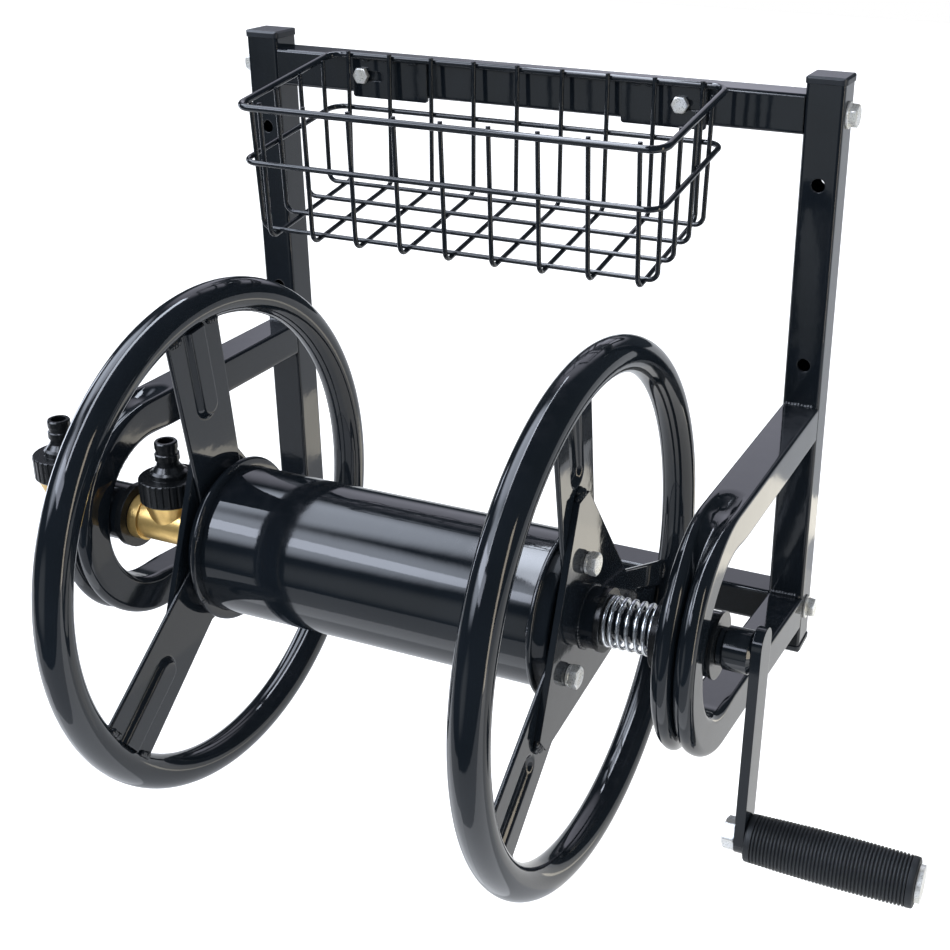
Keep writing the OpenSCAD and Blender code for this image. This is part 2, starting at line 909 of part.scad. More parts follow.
// A dished cup whose lip turns in to the drum
module cup(side) {
    lip_r = drum_r + cup_lip;
    on_wheel(side)
        difference() {
            rotate_extrude()
                polygon([[axle_r, spoke_z], [cup_face_r, spoke_z], [cup_face_r + 1.5, spoke_z - 1],
                    [lip_r - 1, cup_z + cup_t], [lip_r - 0.6, cup_z + cup_t], [lip_r, cup_z + cup_t - 0.6],
                    [lip_r, cup_z + 0.6], [lip_r - 0.6, cup_z], [drum_r, cup_z], [drum_r, cup_z + cup_t],
                    [lip_r - 1 - cup_t, cup_z + cup_t], [cup_face_r, spoke_z - cup_t], [axle_r, spoke_z - cup_t]]);
            each_spoke()
                translate([hub_bolt_r, 0, spoke_z])
                    cylinder(d = m8_d + 2 * bolt_fit, h = 3 * cup_t, center = true);
        }
}

module left_cup() {
    color("#202329")
        cup(-1);
}

module right_cup() {
    color("#202329")
        cup(1);
}

module rim(side) {
    on_wheel(side)
        rotate_extrude($fn = 128)
            translate([rim_r, 0])
                difference() {
                    circle(d = rim_d);
                    circle(d = rim_d - 2 * rim_wall);
                }
}

module left_rim() {
    color("#202329")
        rim(-1);
}

module right_rim() {
    color("#202329")
        rim(1);
}

module rib_outline(w) {
    translate([rib_in + rib_w / 2, 0]) {
        circle(d = w);
        translate([0, -w / 2])
            square([rim_r - rib_in - rib_w / 2, w]);
    }
}

// Pressed bars with a rib raised towards the drum, coped to the rim tube
module spokes(side) {
    on_wheel(side)
        difference() {
            each_spoke()
                difference() {
                    union() {
                        translate([0, 0, spoke_z])
                            linear_extrude(spoke_t)
                                polygon([[spoke_in, -spoke_hub_w / 2], [rim_r, -spoke_rim_w / 2],
                                    [rim_r, spoke_rim_w / 2], [spoke_in, spoke_hub_w / 2]]);
                        translate([0, 0, spoke_z - rib_h])
                            linear_extrude(rib_h + spoke_t / 2)
                                rib_outline(rib_w);
                    }
                    translate([0, 0, spoke_z + spoke_t - rib_h])
                        linear_extrude(rib_h + 1)
                            rib_outline(rib_w - 2 * rib_wall);
                    translate([hub_bolt_r, 0, spoke_z])
                        cylinder(d = m8_d + 2 * bolt_fit, h = 3 * spoke_t, center = true);
                }
            rotate_extrude($fn = 128)
                translate([rim_r, 0])
                    circle(d = rim_d);
        }
}

module left_spokes() {
    color("#2b2d31")
        spokes(-1);
}

module right_spokes() {
    color("#2b2d31")
        spokes(1);
}

module hub_plate(side) {
    tips = [for (i = [0 : spoke_n - 1], s = [-1, 1])
        let (a = spoke_turn + i * 360 / spoke_n)
        [plate_tip_r * cos(a) - s * plate_tip_w / 2 * sin(a), plate_tip_r * sin(a) + s * plate_tip_w / 2 * cos(a)]];
    on_wheel(side)
        translate([0, 0, -plate_t])
            linear_extrude(plate_t)
                difference() {
                    polygon(tips);
                    circle(d = axle_d);
                    each_spoke()
                        translate([hub_bolt_r, 0])
                            circle(d = m8_d + 2 * bolt_fit);
                }
}

module left_hub_plate() {
    color("#202329")
        hub_plate(-1);
}

module right_hub_plate() {
    color("#202329")
        hub_plate(1);
}

module boss(side) {
    on_wheel(side)
        ring(boss_d, axle_d, boss_len);
}

module left_boss() {
    color("#1c1e22")
        boss(-1);
}

module right_boss() {
    color("#1c1e22")
        boss(1);
}

module hub_bolts(side) {
    grip = lock_t + plate_t + spoke_t + cup_t + m8_nut;
    on_wheel(side)
        each_spoke()
            translate([hub_bolt_r, 0, lock_t])
                rotate(30)
                    hex_bolt(m8_d, m8_af, m8_head, grip);
}

module left_hub_bolts() {
    color("#b9bec4")
        hub_bolts(-1);
}

module right_hub_bolts() {
    color("#b9bec4")
        hub_bolts(1);
}

module lock_washers(side) {
    on_wheel(side)
        each_spoke()
            translate([hub_bolt_r, 0, 0])
                ring(lock_d, m8_d + bolt_fit, lock_t);
}

module left_lock_washers() {
    color("#a4a9af")
        lock_washers(-1);
}

module right_lock_washers() {
    color("#a4a9af")
        lock_washers(1);
}

module hub_nuts(side) {
    on_wheel(side)
        each_spoke()
            translate([hub_bolt_r, 0, spoke_z - cup_t - m8_nut])
                rotate(30)
                    hex_nut(m8_d, m8_af, m8_nut);
}

module left_hub_nuts() {
    color("#a4a9af")
        hub_nuts(-1);
}

module right_hub_nuts() {
    color("#a4a9af")
        hub_nuts(1);
}

module left_axle() {
    color("#2b2d31")
        on_axis(boss_left - tee_socket)
            cylinder(d = axle_d, h = tee_socket + boss_len - spoke_z + cup_t);
}

module right_axle() {
    color("#2b2d31")
        on_axis(wheel_right + spoke_z - cup_t)
            cylinder(d = axle_d, h = crank_x - wheel_right - spoke_z + cup_t);
}

module thrust_washer() {
    color("#16171a")
        on_axis(boss_right)
            ring(thrust_d, axle_d, thrust_t);
}

module drag_spring() {
    rings = [for (i = [0 : len(coil_path) - 1]) coil_ring(i)];
    n = len(rings);
    color("#c3c8ce")
        translate([0, axis_y, axis_z])
            polyhedron(
                points = [for (r = rings, p = r) p],
                faces = concat(
                    [for (k = [1 : 4]) [0, k, k + 1]],
                    [for (i = [0 : n - 2], k = [0 : 5]) [6 * i + k, 6 * i + 6 + k, 6 * i + (k + 1) % 6]],
                    [for (i = [0 : n - 2], k = [0 : 5])
                        [6 * i + (k + 1) % 6, 6 * i + 6 + k, 6 * i + 6 + (k + 1) % 6]],
                    [for (k = [1 : 4]) [6 * n - 6, 6 * n - 6 + k + 1, 6 * n - 6 + k]]
                )
            );
}

// Water fittings

module brass_tee() {
    long = boss_left - tee_left;
    color("#c9a24a")
        difference() {
            union() {
                on_axis(tee_left)
                    cylinder(d = tee_d, h = -tee_left + boss_left);
                for (x = [tee_left, boss_left - tee_ring])
                    on_axis(x)
                        cylinder(d = tee_ring_d, h = tee_ring);
                translate([outlet_x, axis_y, axis_z]) {
                    cylinder(d1 = neck_root_d, d2 = neck_boss_d, h = outlet_rise);
                    cylinder(d = neck_d, h = outlet_rise + neck_depth);
                }
            }
            on_axis(tee_left - 1)
                cylinder(d = axle_d, h = tee_socket + 1);
            on_axis(boss_left - tee_socket)
                cylinder(d = axle_d, h = tee_socket + 1);
            on_axis(tee_left)
                cylinder(d = water_d, h = long - tee_socket + 1);
            translate([outlet_x, axis_y, axis_z])
                cylinder(d = water_d, h = outlet_rise + neck_depth + 1);
        }
}

oring_r = axle_r + run_fit / 2 - oring_d / 2;
stem_end = inlet_x;
oring_x = [-bush_out - inlet_out / 2, -bush_out - inlet_out / 2 - 2 * oring_d];

module water_stem() {
    color("#c9a24a")
        translate([0, axis_y, axis_z])
            along_x()
                difference() {
                    translate([0, 0, stem_end])
                        ring(axle_d, water_d, tee_left + tee_socket - stem_end);
                    for (x = oring_x)
                        translate([0, 0, x])
                            rotate_extrude()
                                translate([oring_r - oring_d / 2, -oring_d / 2])
                                    square([oring_d, oring_d]);
                }
}

module stem_o_rings() {
    color("#141414")
        for (x = oring_x)
            on_axis(x)
                rotate_extrude()
                    translate([oring_r, 0])
                        circle(d = oring_d);
}

// Hose adapter standing on zero: fluted collar, tapered shoulder and snap nipple
module adapter() {
    r = nipple_d / 2;
    bore = nipple_bore / 2;
    top = collar_len + nipple_len;
    difference() {
        rotate_extrude()
            polygon([[bore, 0], [collar_d / 2 - 1, 0], [collar_d / 2, 1], [collar_d / 2, collar_len - 0.6],
                [collar_d / 2 - 0.6, collar_len], [r + 3.9, collar_len], [r + 3.9, collar_len + 3.4],
                [r + 2.2, collar_len + 4.7], [r - 0.2, top - 16.6], [r - 1.3, top - 13.4], [r - 0.3, top - 12.9],
                [r, top - 12.6], [r, top - 8.6], [r - 0.9, top - 8], [r - 0.9, top - 5.2], [r - 0.5, top - 4.8],
                [r - 0.5, top - 1], [r - 1.2, top], [bore, top]]);
        translate([0, 0, -1])
            cylinder(d = neck_d, h = neck_depth + 1);
        for (i = [0 : collar_flutes - 1])
            rotate(i * 360 / collar_flutes)
                translate([collar_d / 2 + flute_r / 3, 0, 1.5])
                    cylinder(r = flute_r, h = collar_len, $fn = 16);
    }
}

module outlet_adapter() {
    color("#17181a")
        translate([outlet_x, axis_y, axis_z + outlet_rise])
            adapter();
}

module inlet_elbow() {
    color("#c9a24a")
        difference() {
            union() {
                on_axis(inlet_x)
                    cylinder(d = elbow_d, h = inlet_out - side_gap);
                translate([inlet_x, axis_y, axis_z]) {
                    sphere(d = elbow_d);
                    cylinder(d1 = neck_root_d, d2 = neck_boss_d, h = inlet_rise);
                    cylinder(d = neck_d, h = inlet_rise + neck_depth);
                }
            }
            on_axis(inlet_x - side_gap)
                cylinder(d = axle_d + 2 * run_fit, h = inlet_out + 1);
            translate([inlet_x, axis_y, axis_z])
                cylinder(d = water_d, h = inlet_rise + neck_depth + 1);
        }
}

module inlet_adapter() {
    color("#17181a")
        translate([inlet_x, axis_y, axis_z + inlet_rise])
            adapter();
}

// Crank

module crank_hub() {
    color("#1c1e22")
        on_axis(crank_in)
            rotate_extrude()
                polygon([[axle_r, 0], [crank_neck_d / 2, 0], [crank_neck_d / 2, crank_neck],
                    [crank_hub_d / 2 - 1, crank_neck], [crank_hub_d / 2, crank_neck + 1],
                    [crank_hub_d / 2, crank_hub_len - 2], [crank_hub_d / 2 - 2, crank_hub_len],
                    [axle_r, crank_hub_len]]);
}

module crank_arm() {
    color("#202329")
        on_axis(crank_x)
            rotate(crank_turn)
                linear_extrude(crank_t)
                    difference() {
                        union() {
                            translate([-crank_over, 0])
                                circle(d = crank_w);
                            translate([-crank_over, -crank_w / 2])
                                square([crank_throw + crank_over, crank_w]);
                            translate([crank_throw, 0])
                                circle(d = crank_w);
                        }
                        translate([crank_throw, 0])
                            circle(d = grip_bolt_d);
                    }
}

module on_pin(x) {
    translate([x, pin_y, pin_z])
        along_x()
            children();
}

module grip_bolt() {
    color("#c3c8ce") {
        on_pin(crank_x - m10_nut)
            cylinder(d = grip_bolt_d, h = grip_end + side_gap - crank_x + m10_nut);
        on_pin(grip_end + side_gap)
            cylinder(d = grip_disc_d, h = grip_disc_t);
    }
}

module grip_nut() {
    color("#b9bec4")
        on_pin(crank_x - m10_nut)
            hex_nut(grip_bolt_d, m10_af, m10_nut);
}

// A tapered sleeve with a plain collar at each end and fine rings between
module grip() {
    step = (grip_len - 2 * grip_collar) / grip_rings;
    function taper(x) = (grip_d_in + (grip_d_out - grip_d_in) * x / grip_len) / 2;
    bore = grip_bolt_d / 2 + run_fit;
    color("#151617")
        on_pin(grip_start)
            rotate_extrude()
                polygon(concat(
                    [[bore, 0], [taper(0) - 1, 0], [taper(1), 1]],
                    [for (i = [0 : grip_rings - 1], k = [0 : 2])
                        let (x = grip_collar + step * (i + [0, 0.25, 0.5][k]))
                        [taper(x) - [0, grip_groove, 0][k], x]],
                    [[taper(grip_len - 1), grip_len - 1], [taper(grip_len) - 1, grip_len], [bore, grip_len]]
                ));
}

left_post();
right_post();
post_caps();
top_crossbar();
bottom_crossbar();
crossbar_nut_plates();
frame_bolts();
frame_washers();
left_arm();
right_arm();
left_sleeve();
right_sleeve();
left_inner_bush();
left_outer_bush();
right_inner_bush();
right_outer_bush();
basket_rim();
basket_band();
basket_cross_wires();
basket_long_wires();
basket_plates();
basket_bolts();
drum();
left_cup();
right_cup();
left_rim();
right_rim();
left_spokes();
right_spokes();
left_hub_plate();
right_hub_plate();
left_boss();
right_boss();
left_hub_bolts();
right_hub_bolts();
left_lock_washers();
right_lock_washers();
left_hub_nuts();
right_hub_nuts();
left_axle();
right_axle();
thrust_washer();
drag_spring();
brass_tee();
water_stem();
stem_o_rings();
outlet_adapter();
crank_hub();
crank_arm();
grip_bolt();
grip_nut();
grip();
inlet_elbow();
inlet_adapter();
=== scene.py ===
"""Wall mounted hose reel: finishes, fasteners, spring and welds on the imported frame, and a studio."""

import json
import math

import bpy
import numpy as np
from bpy.props import FloatProperty, FloatVectorProperty, PointerProperty
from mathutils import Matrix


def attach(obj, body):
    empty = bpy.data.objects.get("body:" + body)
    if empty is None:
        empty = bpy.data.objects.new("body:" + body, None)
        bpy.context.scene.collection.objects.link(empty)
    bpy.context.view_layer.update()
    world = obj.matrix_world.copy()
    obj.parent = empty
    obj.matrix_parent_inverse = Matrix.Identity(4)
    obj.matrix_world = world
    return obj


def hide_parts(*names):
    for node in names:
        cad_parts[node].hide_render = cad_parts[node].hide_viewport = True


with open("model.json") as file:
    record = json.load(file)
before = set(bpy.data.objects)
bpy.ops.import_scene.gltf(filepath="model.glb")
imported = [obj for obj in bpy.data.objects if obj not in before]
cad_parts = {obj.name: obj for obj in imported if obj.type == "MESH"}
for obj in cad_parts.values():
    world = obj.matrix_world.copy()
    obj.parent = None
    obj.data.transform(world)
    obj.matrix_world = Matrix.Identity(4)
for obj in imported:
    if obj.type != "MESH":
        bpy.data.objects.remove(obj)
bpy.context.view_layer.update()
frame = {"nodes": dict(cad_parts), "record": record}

bl_info = {
    "name": "Wall mounted hose reel",
    "version": (1, 0, 0),
    "blender": (4, 5, 0),
    "location": "View3D > Sidebar > Hose Reel",
    "description": "Finishes and small pieces of a wall mounted hose reel, with its studio",
    "category": "Object",
}

MM = 0.001
TAU = 2 * math.pi

# Places on the frame in millimetres, in the CAD frame
POST_X, TUBE = 204.0, 25.0
ARM_Z, FOOT_Z, ARM_REACH = -101.0, -246.0, 198.5
BEND_R, BEND_Z, LEG_SLOPE, LOW_LEG = 63.5, -164.5, math.radians(5.81), 180.85
AXIS_Y, AXIS_Z = -230.5, -156.5
WHEEL_X = {"left": -118.5, "right": 138.5}
BAR_TOP_Z, BAR_LOW_Z, MID_Y = 103.0, -246.0, -12.5
PLATE_Y, PLATE_WELD_Z = -27.0, 114.2
PIN_Y, PIN_Z, NUT_X, GRIP_X, GRIP_LEN = -239.653, -275.448, 239.1, 245.4, 99.0

# Drag spring: its two ends in millimetres, and the share of its turns that lies flat at each end
SPRING_IN, SPRING_OUT, SPRING_FLAT = 151.0, 182.45, 0.06

# Bolts in millimetres: thread, across flats, head and length; washers: outside, inside and height
HUB_BOLT, HUB_SEAT, HUB_PITCH = (8, 12.4, 5.0, 17.2), 2, 38
LOCK_WASHER, LOCK_SEAT = (13, 8.5, 1.9), 0.05
FRAME_BOLT, FRAME_WASHER = (8, 13, 5.3, 34.6), (17, 8.5, 1.6)
BASKET_BOLT, BASKET_BOLT_X = (6, 10, 4, 12), (-121.0, 112.0)
NUT_FLATS, NUT_HIGH, NUT_CROWN, NUT_FACE, NUT_TURN = 17, 8, 8.1, 6.5, 0.2
CHAMFER = math.tan(math.radians(30))

# Grip in millimetres: rings, plain collar at each end, depth of a groove, end radii, swell and rounded edge
GRIP_RINGS, COLLAR, GROOVE = 42, 4.4, 1.15
GRIP_R, GRIP_GROWS, GRIP_SWELL, GRIP_EDGE = 14.0, 0.5, 1.1, 1.1

# Crushed arms in millimetres: how far close rows reach out of and into the bend, corner radii on the outer
# and inner side, the ridges' run-out (reach, lag at the sides, length), the valley's half width, loss of
# width, depth and gain of depth, and its deepening (reach, length); creases in degrees of the bend
ROWS_OUT, ROWS_IN, CORNER_R, HEEL_R = 45, 14, 2.5, 5.0
RUN_OUT, RUN_LAG, RUN_LEN = 30, 9, 26
VALLEY, VALLEY_LOSS, VALLEY_DEEP, VALLEY_GAIN = 7.5, 6.9, 1.2, 2.4
DEEP_OUT, DEEP_LEN = 4, 58
CREASE_AT, CREASE_WIDE = 125, 14

# Spokes in millimetres: radii, widths, faces on the wheel's axis, edges, and the pressed rib with its half
# widths at the foot and at the top
SPOKE_TURN, SPOKE_IN, SPOKE_OUT, RIM_R = 97.0, 28, 146.8, 155
SPOKE_HUB_W, SPOKE_RIM_W, SPOKE_FACE, SPOKE_BACK = 43, 50, -4, -7
SPOKE_CORNER, SPOKE_INSET = 0.6, 0.7
RIB_END, RIB_DEEP, RIB_ROWS = 97, 3.5, (84, 104)
RIB_FRONT, RIB_REAR = (9.2, 4.8), (10.4, 6.0)

# Cup's profile in millimetres, as radius and height on the wheel's axis; knee and lip as centre, radius and
# the degrees that they sweep
CUP_FACE = ((12.6, -7.0, 0), (30.0, -7.0, 0))
CUP_KNEE, CUP_LIP = ((43.6, -10.0, 0), 3.0, 90, 22), ((51.2, -15.7, 0), 1.8, 150, -90)
CUP_CONE = ((47.6, -11.6, 0), (48.6, -13.6, 0))
CUP_INSIDE = ((47.1, -17.5, 0), (47.1, -15.6, 0), (45.4, -11.2, 0), (42.5, -9.0, 0), (12.6, -9.0, 0))

# Welds in millimetres and degrees: runs across an arm as height and the way that they face, the sleeve's two
# beads, a spoke's tacks on the rim, beads on a hub plate's tips as radius, half length and size, the boss,
# the cup's tacks on the drum, and runs on the basket plates as place and length
ARM_WELDS = ((ARM_Z + 12.4, 1), (ARM_Z - 12.4, -1), (FOOT_Z + 13.6, 1), (FOOT_Z - 11.2, -1))
WELD_HALF, WELD_PROUD = 11, 0.3
SLEEVE_R, SLEEVE_WAY, SLEEVE_BEADS = 18.9, np.array([-32.0, 8.0]) / math.hypot(32, 8), (-34.0, 34.0)
RIM_TACKS, RIM_RINGS = ((-9.2, -5.0), (5.0, 9.2)), ((144.6, -3.6), (146.3, -7.4))
TIP_WELDS = ((82.6, 6.5, 1.5), (79.6, 3.5, 1.3), (85.0, 4.0, 1.15))
BOSS_R, CUP_R, CUP_TACK_HALF = 18.4, 50.6, 7
CUP_TACKS = {"left": (96, 151, 207), "right": (43, 163, 283)}
PLATE_WELDS = ((-117.8, 6), (-100.4, 9), (-81.8, 8), (81.7, 7), (92, 10), (126, 6))

# Studio in metres: the floor's height and corners
FLOOR_Z, FLOOR = -0.75, ((-6, -0.7), (6, -0.7), (6, 7), (-6, 7))

# Lamps: name, place, aim, size, radiance, tint, turn in degrees, and whether it lights more than the gloss
REEL = (0.0, -0.2, -0.1)
LAMPS = (("key_softbox", (-0.6, -1.36, 0.74), REEL, (1.4, 0.3), 5.2, "#e6edff", 0, True),
         ("overhead_strip", (-0.34, -0.5, 1.1), (-0.34, -0.5, -1.0), (0.22, 2.3), 12.0, "#e4ecfa", 0, False),
         ("left_strip", (-1.9, 0.35, -0.25), REEL, (0.3, 1.6), 5.0, "#e6eeff", 0, True),
         ("right_strip", (1.9, -0.65, 0.1), REEL, (0.25, 1.6), 6.0, "#fff2dc", 0, True),
         ("front_card", (0.0, -0.5, -0.36), (0.0, -0.5, 1.0), (2.2, 0.36), 0.75, "#f4f8ff", 0, True),
         ("rear_card", (0.5, 0.0, -0.36), (0.5, 0.0, 1.0), (0.9, 0.5), 0.18, "#fff3d8", 0, True),
         ("floor_card", (0.68, 0.92, -0.74), (0.68, 0.92, 1.0), (0.26, 0.66), 1.6, "#fff6e0", 31, False))

# Camera fitted to the object's edges: place, turn in degrees, lens and shift on a 36 mm picture
EYE, EYE_TURN = (0.419356, -0.918062, 0.278366), (65.854245, -0.787083, 22.898991)
PICTURE, LENS, SHIFT = 36.0, 55.474, (-0.11554, -0.01930)

# What the gloss mirrors: aim, cosine where a glow begins, cosine where it is full, tint and level
SURROUND = (((-0.63, 0.06, 0.77), 0.90, 0.975, "#dfe8f8", 6.2),
            ((-0.60, -0.58, 0.55), 0.92, 0.985, "#dfe8f8", 5.8),
            ((-0.25, 0.82, 0.50), 0.88, 0.97, "#e6e6f6", 1.3),
            ((-0.33, -0.93, -0.10), 0.94, 0.995, "#eef3f6", 0.6))


# ---------------------------------------------------------------- colours and nodes

def colour(code):
    """Linear colour of a six figure sRGB hex code, with full alpha."""
    parts = np.array([int(code[i:i + 2], 16) for i in (1, 3, 5)]) / 255
    return (*np.where(parts <= 0.04045, parts / 12.92, ((parts + 0.055) / 1.055) ** 2.4), 1.0)


def put(tree, kind, sockets=None, out=0, **settings):
    """Adds a node with its settings, sets or links its sockets, and gives one of its outputs."""
    made = tree.nodes.new(kind)
    for key, value in settings.items():
        setattr(made, key, value)
    for key, value in (sockets or {}).items():
        if isinstance(value, bpy.types.NodeSocket):
            tree.links.new(value, made.inputs[key])
        else:
            made.inputs[key].default_value = value
    return made.outputs[out] if made.outputs else made


def start(name):
    """An empty node material: its tree and the object's own coordinates."""
    made = bpy.data.materials.new(name)
    made.use_nodes = True
    made.node_tree.nodes.clear()
    return made.node_tree, put(made.node_tree, "ShaderNodeTexCoord", None, "Object")


# Stoved gloss black paint on steel: near black and mirror bright, with the slow waver and the fine orange
# peel of a sprayed coat, edges that the paint rounds, and a breath of dust on what looks up
def paint(name, base, deep, dust, rough, peel):
    tree, where = start(name)
    drift = put(tree, "ShaderNodeTexNoise", {"Vector": where, "Scale": 1 / (45 * MM), "Detail": 3.0})
    share = put(tree, "ShaderNodeMapRange", {0: drift, 1: 0.3, 2: 0.7})
    tint = put(tree, "ShaderNodeMix", {0: share, 6: base, 7: deep}, 2, data_type="RGBA")
    grit = put(tree, "ShaderNodeTexNoise", {"Vector": where, "Scale": 1 / (8 * MM), "Detail": 5.0,
                                            "Roughness": 0.65})
    normal = put(tree, "ShaderNodeNewGeometry", None, "Normal")
    face = put(tree, "ShaderNodeSeparateXYZ", {0: normal}, "Z")
    top = put(tree, "ShaderNodeMapRange", {0: face, 1: 0.6, 2: 1.0})
    film = put(tree, "ShaderNodeMapRange", {0: grit, 1: 0.45, 2: 0.8, 4: 0.05})
    film = put(tree, "ShaderNodeMath", {0: film, 1: top}, operation="MULTIPLY")
    tint = put(tree, "ShaderNodeMix", {0: film, 6: tint, 7: dust}, 2, data_type="RGBA")
    shine = put(tree, "ShaderNodeMapRange", {0: drift, 1: 0.3, 2: 0.7, 3: rough - 0.02, 4: rough + 0.03})
    shine = put(tree, "ShaderNodeMath", {0: shine, 1: film}, operation="ADD")
    edge = put(tree, "ShaderNodeBevel", {"Radius": 0.7 * MM}, samples=6)
    waver = put(tree, "ShaderNodeTexNoise", {"Vector": where, "Scale": 1 / (24 * MM), "Detail": 1.0})
    sag = put(tree, "ShaderNodeBump", {"Strength": 0.5, "Distance": 0.16 * MM, "Height": waver,
                                       "Normal": edge})
    orange = put(tree, "ShaderNodeTexNoise", {"Vector": where, "Scale": 1 / (5 * MM), "Detail": 2.0})
    relief = put(tree, "ShaderNodeBump", {"Strength": peel, "Distance": 0.05 * MM, "Height": orange,
                                          "Normal": sag})
    coat = put(tree, "ShaderNodeBsdfPrincipled", {"Base Color": tint, "Roughness": shine, "IOR": 1.5,
                                                  "Normal": relief})
    put(tree, "ShaderNodeOutputMaterial", {"Surface": coat})


# Bright zinc plate on steel, barrel plated: pale silver, satin, with a yellow-blue bloom and a fine grain,
# which is drawn coarser than life so that it shows
def zinc(name, base, bloom, metal, rough, worn):
    tree, where = start(name)
    cloud = put(tree, "ShaderNodeTexNoise", {"Vector": where, "Scale": 1 / (7 * MM), "Detail": 3.0})
    grain = put(tree, "ShaderNodeTexNoise", {"Vector": where, "Scale": 1 / (0.8 * MM), "Detail": 3.0})
    share = put(tree, "ShaderNodeMapRange", {0: cloud, 1: 0.35, 2: 0.65})
    tint = put(tree, "ShaderNodeMix", {0: share, 6: base, 7: bloom}, 2, data_type="RGBA")
    speck = put(tree, "ShaderNodeMapRange", {0: grain, 1: 0.6, 2: 0.8, 4: 0.3})
    tint = put(tree, "ShaderNodeMix", {0: speck, 6: tint, 7: colour("#8a8e94")}, 2, data_type="RGBA")
    shine = put(tree, "ShaderNodeMapRange", {0: grain, 1: 0.3, 2: 0.7, 3: rough - 0.05, 4: rough + 0.1})
    edge = put(tree, "ShaderNodeBevel", {"Radius": worn * MM}, samples=6)
    relief = put(tree, "ShaderNodeBump", {"Strength": 0.12, "Distance": 0.02 * MM, "Height": grain,
                                          "Normal": edge})
    plate = put(tree, "ShaderNodeBsdfPrincipled", {"Base Color": tint, "Metallic": metal, "Roughness": shine,
                                                   "Normal": relief})
    put(tree, "ShaderNodeOutputMaterial", {"Surface": plate})


# Cast and turned brass: warm and pale, with tool rings along the axle, a sandy cast grain and a little
# tarnish; the rings and the sand are drawn coarser than life so that they show
def brass(name, base, dull):
    tree, where = start(name)
    patch = put(tree, "ShaderNodeTexNoise", {"Vector": where, "Scale": 1 / (13 * MM), "Detail": 4.0,
                                             "Roughness": 0.6})
    sand = put(tree, "ShaderNodeTexNoise", {"Vector": where, "Scale": 1 / (0.9 * MM), "Detail": 3.0})
    rings = put(tree, "ShaderNodeTexWave", {"Vector": where, "Scale": 1 / (12 * MM), "Distortion": 0.6})
    share = put(tree, "ShaderNodeMapRange", {0: patch, 1: 0.45, 2: 0.75, 4: 0.7})
    tint = put(tree, "ShaderNodeMix", {0: share, 6: base, 7: dull}, 2, data_type="RGBA")
    shine = put(tree, "ShaderNodeMapRange", {0: patch, 1: 0.3, 2: 0.7, 3: 0.26, 4: 0.42})
    edge = put(tree, "ShaderNodeBevel", {"Radius": 0.5 * MM}, samples=6)
    turned = put(tree, "ShaderNodeBump", {"Strength": 0.06, "Distance": 0.02 * MM, "Height": rings,
                                          "Normal": edge})
    relief = put(tree, "ShaderNodeBump", {"Strength": 0.2, "Distance": 0.04 * MM, "Height": sand,
                                          "Normal": turned})
    metal = put(tree, "ShaderNodeBsdfPrincipled", {"Base Color": tint, "Metallic": 0.9, "Roughness": shine,
                                                   "Normal": relief})
    put(tree, "ShaderNodeOutputMaterial", {"Surface": metal})


# Moulded polymer or rubber: an even body colour that drifts a little, soft edges and a spark-eroded grain,
# which is drawn coarser than life so that it shows
def moulded(name, base, pale, rough, grit, depth):
    tree, where = start(name)
    grain = put(tree, "ShaderNodeTexNoise", {"Vector": where, "Scale": 1 / (grit * MM), "Detail": 4.0,
                                             "Roughness": 0.65})
    drift = put(tree, "ShaderNodeTexNoise", {"Vector": where, "Scale": 1 / (22 * MM)})
    share = put(tree, "ShaderNodeMapRange", {0: drift, 1: 0.3, 2: 0.7})
    tint = put(tree, "ShaderNodeMix", {0: share, 6: base, 7: pale}, 2, data_type="RGBA")
    shine = put(tree, "ShaderNodeMapRange", {0: grain, 1: 0.3, 2: 0.7, 3: rough - 0.05, 4: rough + 0.08})
    edge = put(tree, "ShaderNodeBevel", {"Radius": 0.4 * MM}, samples=6)
    relief = put(tree, "ShaderNodeBump", {"Strength": 0.25, "Distance": depth * MM, "Height": grain,
                                          "Normal": edge})
    body = put(tree, "ShaderNodeBsdfPrincipled", {"Base Color": tint, "Roughness": shine, "IOR": 1.48,
                                                  "Normal": relief})
    put(tree, "ShaderNodeOutputMaterial", {"Surface": body})


# ---------------------------------------------------------------- surfaces

def skin(rows, closed=False):
    """Points and faces of a grid whose columns wrap; open ends are closed by a fan on their centre."""
    n, m = rows.shape[:2]
    here = np.arange(n * m).reshape(n, m)
    side = np.roll(here, -1, axis=1)
    if closed:
        quads = np.stack([here, side, np.roll(side, -1, axis=0), np.roll(here, -1, axis=0)], -1)
        return rows.reshape(-1, 3), quads.reshape(-1, 4), np.zeros((0, 3), int)
    quads = np.stack([here[:-1], side[:-1], side[1:], here[1:]], -1).reshape(-1, 4)
    ends = np.stack([rows[0].mean(axis=0), rows[-1].mean(axis=0)])
    low = np.stack([side[0], here[0], np.full(m, n * m)], -1)
    high = np.stack([here[-1], side[-1], np.full(m, n * m + 1)], -1)
    return np.vstack([rows.reshape(-1, 3), ends]), quads, np.vstack([low, high])


def outward(points, quads, tris):
    """The same faces, turned so that the volume they close is positive."""
    every = np.vstack([quads[:, [0, 1, 2]], quads[:, [0, 2, 3]], tris])
    a, b, c = points[every[:, 0]], points[every[:, 1]], points[every[:, 2]]
    if np.einsum("ij,ij->", a, np.cross(b, c)) < 0:
        return points, quads[:, ::-1], tris[:, ::-1]
    return points, quads, tris


